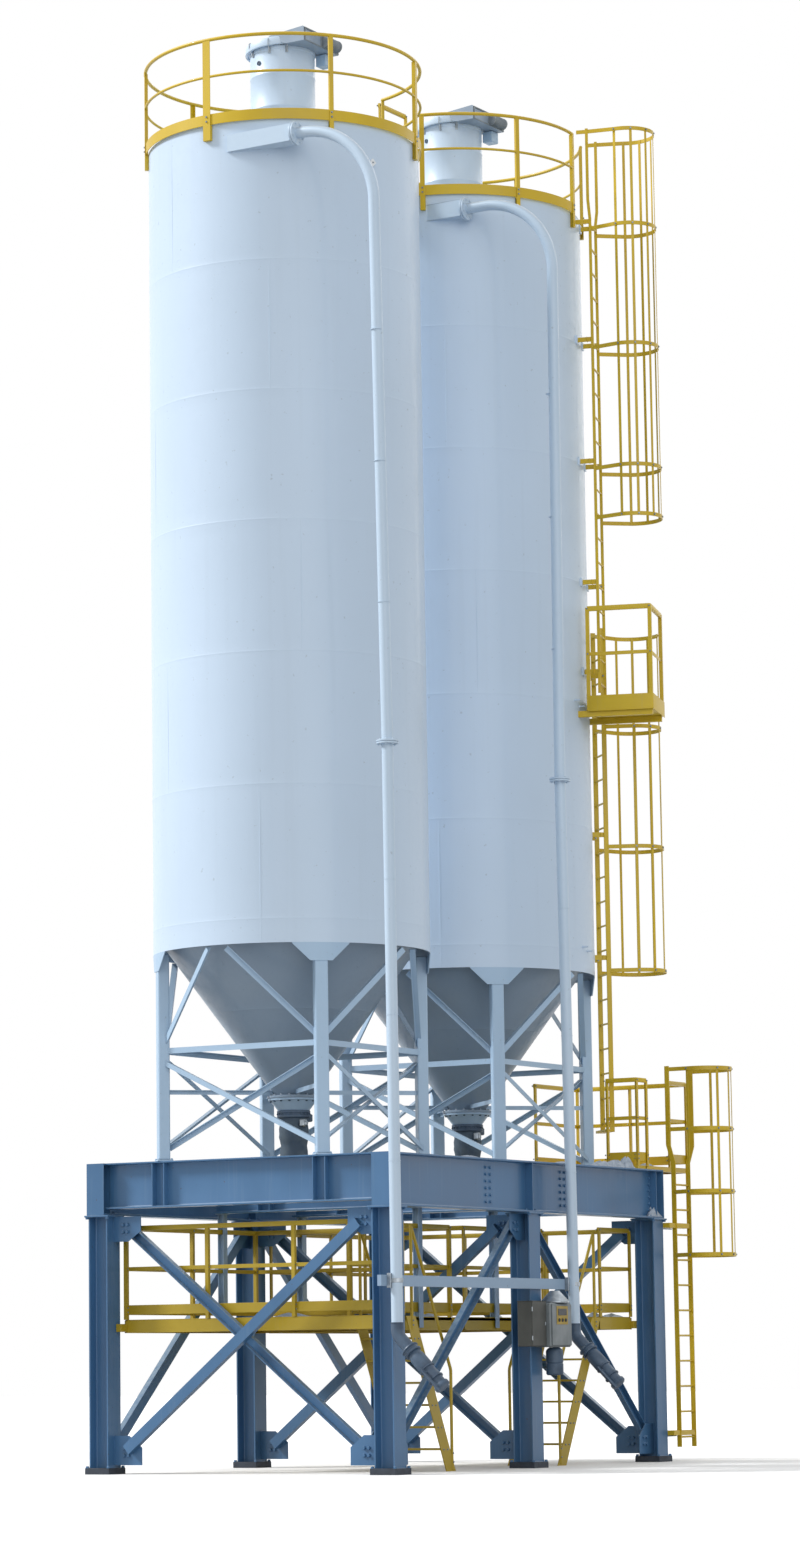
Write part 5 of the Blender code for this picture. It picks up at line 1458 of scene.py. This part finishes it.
rows = GIRDER_LOW + 0.10 + 0.078 * np.arange(6)
for row, y in (("front", -GIRDER_Y), ("back", GIRDER_Y)):
    put("beam_" + row, girder(y), STAND_BLUE, replaces=["girder_" + row])
    out = -1.0 if y < 0 else 1.0
    web = [(x + s, y + out * 0.0065, z) for x in CROSS_AT.values() for s in (-0.05, 0.05)
           for z in rows]
    cap = [(x + a, y + b, GIRDER_LOW + 0.020) for x in (-COL_X, 0.0, COL_X) for a in (-0.11, 0.11)
           for b in (-0.07, 0.07)]
    put("beam_bolts_" + row, joined([copies(M20, web, (0.0, out, 0.0)), copies(M20, cap, UP)]),
        STAND_BLUE)
for word, x in CROSS_AT.items():
    put("joist_" + word, cross_beam(x), STAND_BLUE, replaces=["cross_beam_" + word])


# %% Braces
def brace(start, end, wide, high, back):
    """A channel bar with its web on the gusset's side; back is the way from the gusset to the bar."""
    run = np.subtract(end, start) / np.linalg.norm(np.subtract(end, start))
    return swept(channel(high, wide, 0.009) - (wide / 2, 0.0), [start, end], np.cross(run, back))


for word, x in (("left", -COL_X), ("middle", 0.0), ("right", COL_X)):
    for side, name in ((1, "rising"), (-1, "falling")):
        at = x + side * (GUSSET_HALF + GAP + 0.040)
        a, b = (at, -1.56 * side, 0.270), (at, 1.56 * side, 2.755)
        put(f"tie_{word}_{name}", brace(a, b, 0.080, 0.120, (side, 0.0, 0.0)), STAND_BLUE,
            replaces=[f"end_brace_{word}_{name}"])
for row, y, inward in (("front", -COL_Y, 1), ("back", COL_Y, -1)):
    for word, side in (("left", -1), ("right", 1)):
        at = y + inward * (GUSSET_HALF + GAP + 0.035)
        a, b = (side * 0.200, at, 2.790), (side * (COL_X - 0.160), at, 0.345)
        put(f"strut_{row}_{word}", brace(a, b, 0.070, 0.125, (0.0, inward, 0.0)), STAND_BLUE,
            replaces=[f"face_brace_{row}_{word}"])

# %% [markdown]
# ## Silo legs and their bracing
# Four hollow square legs stand under each shell's edge, each with a head plate bent to the shell.
# Equal angles brace them: a girt round all four sides, a cross under it, two bars up to the shell's
# edge on each side, and one strut from each leg in to the hopper's foot.

# %% Legs and bars
LEG_DEEP, LEG_HALF, LEG_OUT = 0.130, 0.075, SILO_R - 0.010
GIRT, CROSS_HIGH, CROSS_FOOT, RAKER_FOOT, STRUT_AT = 4.768, 4.630, 3.655, 4.850, 4.300
LEG_TURNS = [np.degrees(np.arctan2(sy * LEG_Y, sx * LEG_X)) for sx in (-1, 1) for sy in (-1, 1)]
HEAD_PLATE = np.array([(0.335, 0.0), (0.330, 0.012), (0.137, 0.196), (0.130, 0.204)])


def angle(wide, thick=0.007):
    """An equal angle as (across, up) points: one leg hangs on the outer side, one lies on top."""
    h, inner = wide / 2, wide / 2 - thick
    return np.array([(h, h), (-h, h), (-h, inner), (inner, inner), (inner, -h), (h, -h)])


def head_plate(turn):
    """A plate on the shell's own circle; its half width shrinks with depth as HEAD_PLATE says."""
    a = np.radians(turn) + HEAD_PLATE[:, :1] * np.linspace(-1, 1, 13) / SILO_R
    z = SHELL_LOW - GAP - HEAD_PLATE[:, 1:] + 0 * a
    skins = [np.stack([r * np.cos(a), r * np.sin(a), z], axis=-1) for r in (SILO_R, SILO_R - 0.012)]
    return capped(np.concatenate([skins[0], skins[1][:, ::-1]], axis=1))


def silo_leg(sx, sy):
    """A leg that faces away from the silo's axis, on its foot plate, with its head plate."""
    turn = np.degrees(np.arctan2(sy * LEG_Y, sx * LEG_X))
    foot, inner = GIRDER_TOP + GAP, LEG_OUT - LEG_DEEP
    post = block(inner, LEG_OUT, -LEG_HALF, LEG_HALF, foot + 0.016, SHELL_LOW - 0.002, 0.010)
    plate = block(inner - 0.030, LEG_OUT + 0.020, -0.095, 0.095, foot, foot + 0.018, 0.003)
    return joined([spun(post, turn), spun(plate, turn), head_plate(turn)])


def face_bars(spread, offset):
    """The angles between two legs at x = -spread and spread, on the face at y = -offset."""
    k = (SILO_R - 0.085) / np.hypot(LEG_X, LEG_Y)
    x, y = spread * k - 0.040, -offset * k
    rim = (0.045 - SILO_R, SHELL_LOW - 0.034)
    bars = [straight(angle(0.065), (-x, y, GIRT), (x, y, GIRT))]
    for s in (-1, 1):
        slant = y + s * 0.030
        bars.append(straight(angle(0.065), (s * x, y, RAKER_FOOT), (s * 0.110, *rim)))
        bars.append(straight(angle(0.055), (s * x, slant, CROSS_HIGH), (-s * x, slant, CROSS_FOOT)))
    return joined(bars)


def foot_struts():
    """Four angles, each from a leg straight in to the cone just above its flange."""
    bar = straight(angle(0.050), (0.232, 0.0, STRUT_AT), (LEG_OUT - LEG_DEEP + 0.010, 0.0, STRUT_AT))
    return joined([spun(bar, turn) for turn in LEG_TURNS])


# %% Legs in place
for word, cx in SILOS.items():
    for row, sy in (("front", -1), ("back", 1)):
        bars = spun(face_bars(LEG_X, LEG_Y), 0 if sy < 0 else 180)
        legs = joined([silo_leg(-1, sy), silo_leg(1, sy), bars])
        put(f"legs_{row}_{word}", moved(legs, cx), LEG_ENAMEL, replaces=[f"leg_frame_{row}_{word}"])
    for flank, turn in (("left", -90), ("right", 90)):
        put(f"flank_bars_{flank}_{word}", placed(face_bars(LEG_Y, LEG_X), turn, cx), LEG_ENAMEL,
            replaces=[f"leg_bracing_{flank}_{word}"])
    put("foot_struts_" + word, moved(foot_struts(), cx), LEG_ENAMEL)

# %% Bolts on the leg feet
feet = []
for cx in SILOS.values():
    for turn in LEG_TURNS:
        for a in (LEG_OUT - LEG_DEEP - 0.014, LEG_OUT + 0.006):
            spots = at_height([(a, -0.078), (a, 0.078)], GIRDER_TOP + 0.0183)
            feet.append(placed((spots, []), turn, cx)[0])
put("leg_bolts", copies(M16, np.vstack(feet)), LEG_ENAMEL)

# %% [markdown]
# ## Control gear on the middle column
# A sheet-steel cabinet hangs beside the column. Next to it stands a moulded box with a yellow
# label, a dark window and three knobs, and behind it a coned hood over a filter bowl.

# %% Control gear
FACE = COLUMN_FACE
cabinet = [block(-0.440, -0.112, FACE - 0.185, FACE - 0.001, 1.380, 1.900, 0.006),
           block(-0.435, -0.117, FACE - 0.199, FACE - 0.186, 1.386, 1.894, 0.004),
           block(-0.446, -0.106, FACE - 0.200, FACE - 0.001, 1.894, 1.900, 0.002)]
put("cabinet", joined(cabinet), CABINET, replaces=["control_box"])
lock = [tube([(-0.437, FACE - 0.196, z), (-0.437, FACE - 0.196, z + 0.05)], 0.006, 10, SIDE_Y)
        for z in (1.45, 1.78)]
lock.append(block(-0.150, -0.132, FACE - 0.206, FACE - 0.198, 1.62, 1.66, 0.002))
put("cabinet_lock", joined(lock), ZINC)
case = [block(-0.108, 0.378, FACE - 0.250, FACE - 0.022, 1.372, 1.878, 0.014),
        block(-0.090, 0.360, FACE - 0.268, FACE - 0.251, 1.390, 1.860, 0.010)]
put("instrument_case", joined(case), INSTRUMENT)
panel = block(0.005, 0.265, FACE - 0.272, FACE - 0.2685, 1.630, 1.840, 0.004)
put("instrument_panel", panel, PANEL_YELLOW)
window = block(0.035, 0.235, FACE - 0.276, FACE - 0.2725, 1.735, 1.810, 0.003)
put("instrument_window", window, DISPLAY)
knob = turned_solid([(0, 0), (0.020, 0), (0.020, 0.006), (0.016, 0.010), (0, 0.010)], 24)
knobs = copies(knob, [(x, FACE - 0.272, 1.680) for x in (0.060, 0.135, 0.210)], (0.0, -1.0, 0.0))
put("instrument_knobs", knobs, RUBBER)
hood = [(0.0, 1.879), (0.166, 1.880), (0.168, 1.884), (0.168, 1.897), (0.162, 1.902), (0.056, 2.018),
        (0.0, 2.020)]
put("filter_hood", turned_solid(hood, 48, (0.170, FACE - 0.156)), ZINC)
bowl = [(0.0, 1.050), (0.086, 1.052), (0.100, 1.070), (0.100, 1.180), (0.094, 1.186), (0.094, 1.196),
        (0.100, 1.202), (0.100, 1.330), (0.086, 1.350), (0.060, 1.3705), (0.0, 1.3705)]
put("filter_bowl", turned_solid(bowl, 48, (0.150, FACE - 0.150)), CAST_DARK)
put("gear_bracket", block(-0.100, 0.100, FACE - 0.099, FACE - 0.001, 1.450, 1.800, 0.003), CAST_DARK)

# %% [markdown]
# ## Small fittings and settled cement
# A diamond plate with one bolt holds each pipe's bend to its shell, and small pins stand on the
# right shell below the ladder. Light-blue stubs carry the ground ladder. Where cement has spilled
# it has set in low heaps on whatever is level, so each heap is a bump with an uneven surface.

# %% Clips, pins and stubs
def on_shell(cx, turn, z, out=0.0):
    """A point on a silo's wall, moved out by the given distance, and the way the wall looks."""
    way = facing(turn)
    return (cx, 0.0, z) + way * (SILO_R + out), way


diamond = np.array([(-0.048, 0.0), (0.0, -0.048), (0.048, 0.0), (0.0, 0.048)])
for word, cx, turn, z in (("left", -SILO_X, -108.0, 14.950), ("right", SILO_X, -105.75, 14.962)):
    spot, way = on_shell(cx, turn, z, -0.003)
    plate = swept(diamond, [spot, spot + way * 0.030], UP)
    head = copies(hexagon(0.016, 0.006), [spot + way * 0.030], way)
    put("bend_clip_" + word, plate, WHITE_PAD)
    put("bend_clip_bolt_" + word, head, BOLT_STEEL)
pins = []
for turn, z in ((-88.7, 9.214), (-84.0, 9.150), (-85.7, 6.190), (-80.5, 6.150)):
    spot, way = on_shell(SILO_X, turn, z, -0.004)
    pins.append(ring_on(spot, way, [(0.0, 0.016), (0.012, 0.016), (0.014, 0.009), (0.070, 0.009),
                                    (0.074, 0.006)], 16))
put("wall_pins", joined(pins), SILO_ENAMEL)
ports = []
for cx, turn in ((-SILO_X, 166.5), (SILO_X, 155.9)):
    spot, way = on_shell(cx, turn, 16.450, CAN_R - SILO_R - 0.002)
    ports.append(ring_on(spot, way, [(0.0, 0.028), (0.012, 0.028), (0.014, 0.020), (0.008, 0.018)], 20))
put("can_ports", joined(ports), CAST_DARK)
flank = COL_X + COL_W / 2 + 0.0005
stubs = [block(flank, 3.480, -2.000, -1.960, z - 0.045, z - 0.032, 0.002) for z in STUB_Z]
stubs += [block(flank, flank + 0.0095, -2.005, -1.955, z - 0.075, z - 0.020, 0.002) for z in STUB_Z]
put("ladder_stubs", joined(stubs), HANGER_BLUE)


# %% Heaps of cement
def heap(x, y, z, wide, deep, high, seed):
    """Height (1 - r^2)^1.4 over an oval, roughened by three waves; a flat underside closes it."""
    r = np.linspace(1.0, 0.0, 9)[:-1, None]
    a = ring_angles(36)[None, :]
    rough = 1 + 0.16 * np.sin(3 * a + seed) + 0.08 * np.sin(7 * a - seed) + 0.05 * np.sin(11 * a * r)
    top = high * (1 - r ** 2) ** 1.4 * (1 + 0.22 * np.sin(5 * r + 2 * a + seed))
    out = r * rough
    table = np.stack([x + wide * out * np.cos(a), y + deep * out * np.sin(a), z + top], axis=-1)
    rim = table[:1] * (1, 1, 0) + (0, 0, z - 0.004)
    points, faces = grid(np.vstack([rim, table]), wrap_v=True)
    peak, n = len(points), 8 * 36
    k = np.arange(36)
    crown = np.stack([np.full(36, peak), n + k, n + (k + 1) % 36], axis=-1)
    return np.vstack([points, [(x, y, z + high)]]), faces + [crown, k[None, ::-1]]


HEAPS = [(2.20, -1.930, 3.513, 0.30, 0.080, 0.080), (2.45, -1.940, 3.513, 0.20, 0.075, 0.120),
         (1.85, -1.930, 3.513, 0.36, 0.078, 0.060), (3.08, -1.950, 2.945, 0.15, 0.090, 0.120),
         (2.25, -1.560, 1.737, 0.12, 0.110, 0.050), (2.62, -1.600, 1.737, 0.20, 0.090, 0.040),
         (0.90, -1.930, 3.513, 0.22, 0.070, 0.025), (-1.30, -1.930, 3.513, 0.26, 0.075, 0.022),
         (3.70, -1.550, 3.575, 0.16, 0.120, 0.045), (1.40, 0.30, 1.737, 0.34, 0.300, 0.060),
         (-1.90, 0.10, 1.737, 0.30, 0.280, 0.050)]
put("cement_heaps", joined([heap(*h, k) for k, h in enumerate(HEAPS)]), CEMENT)
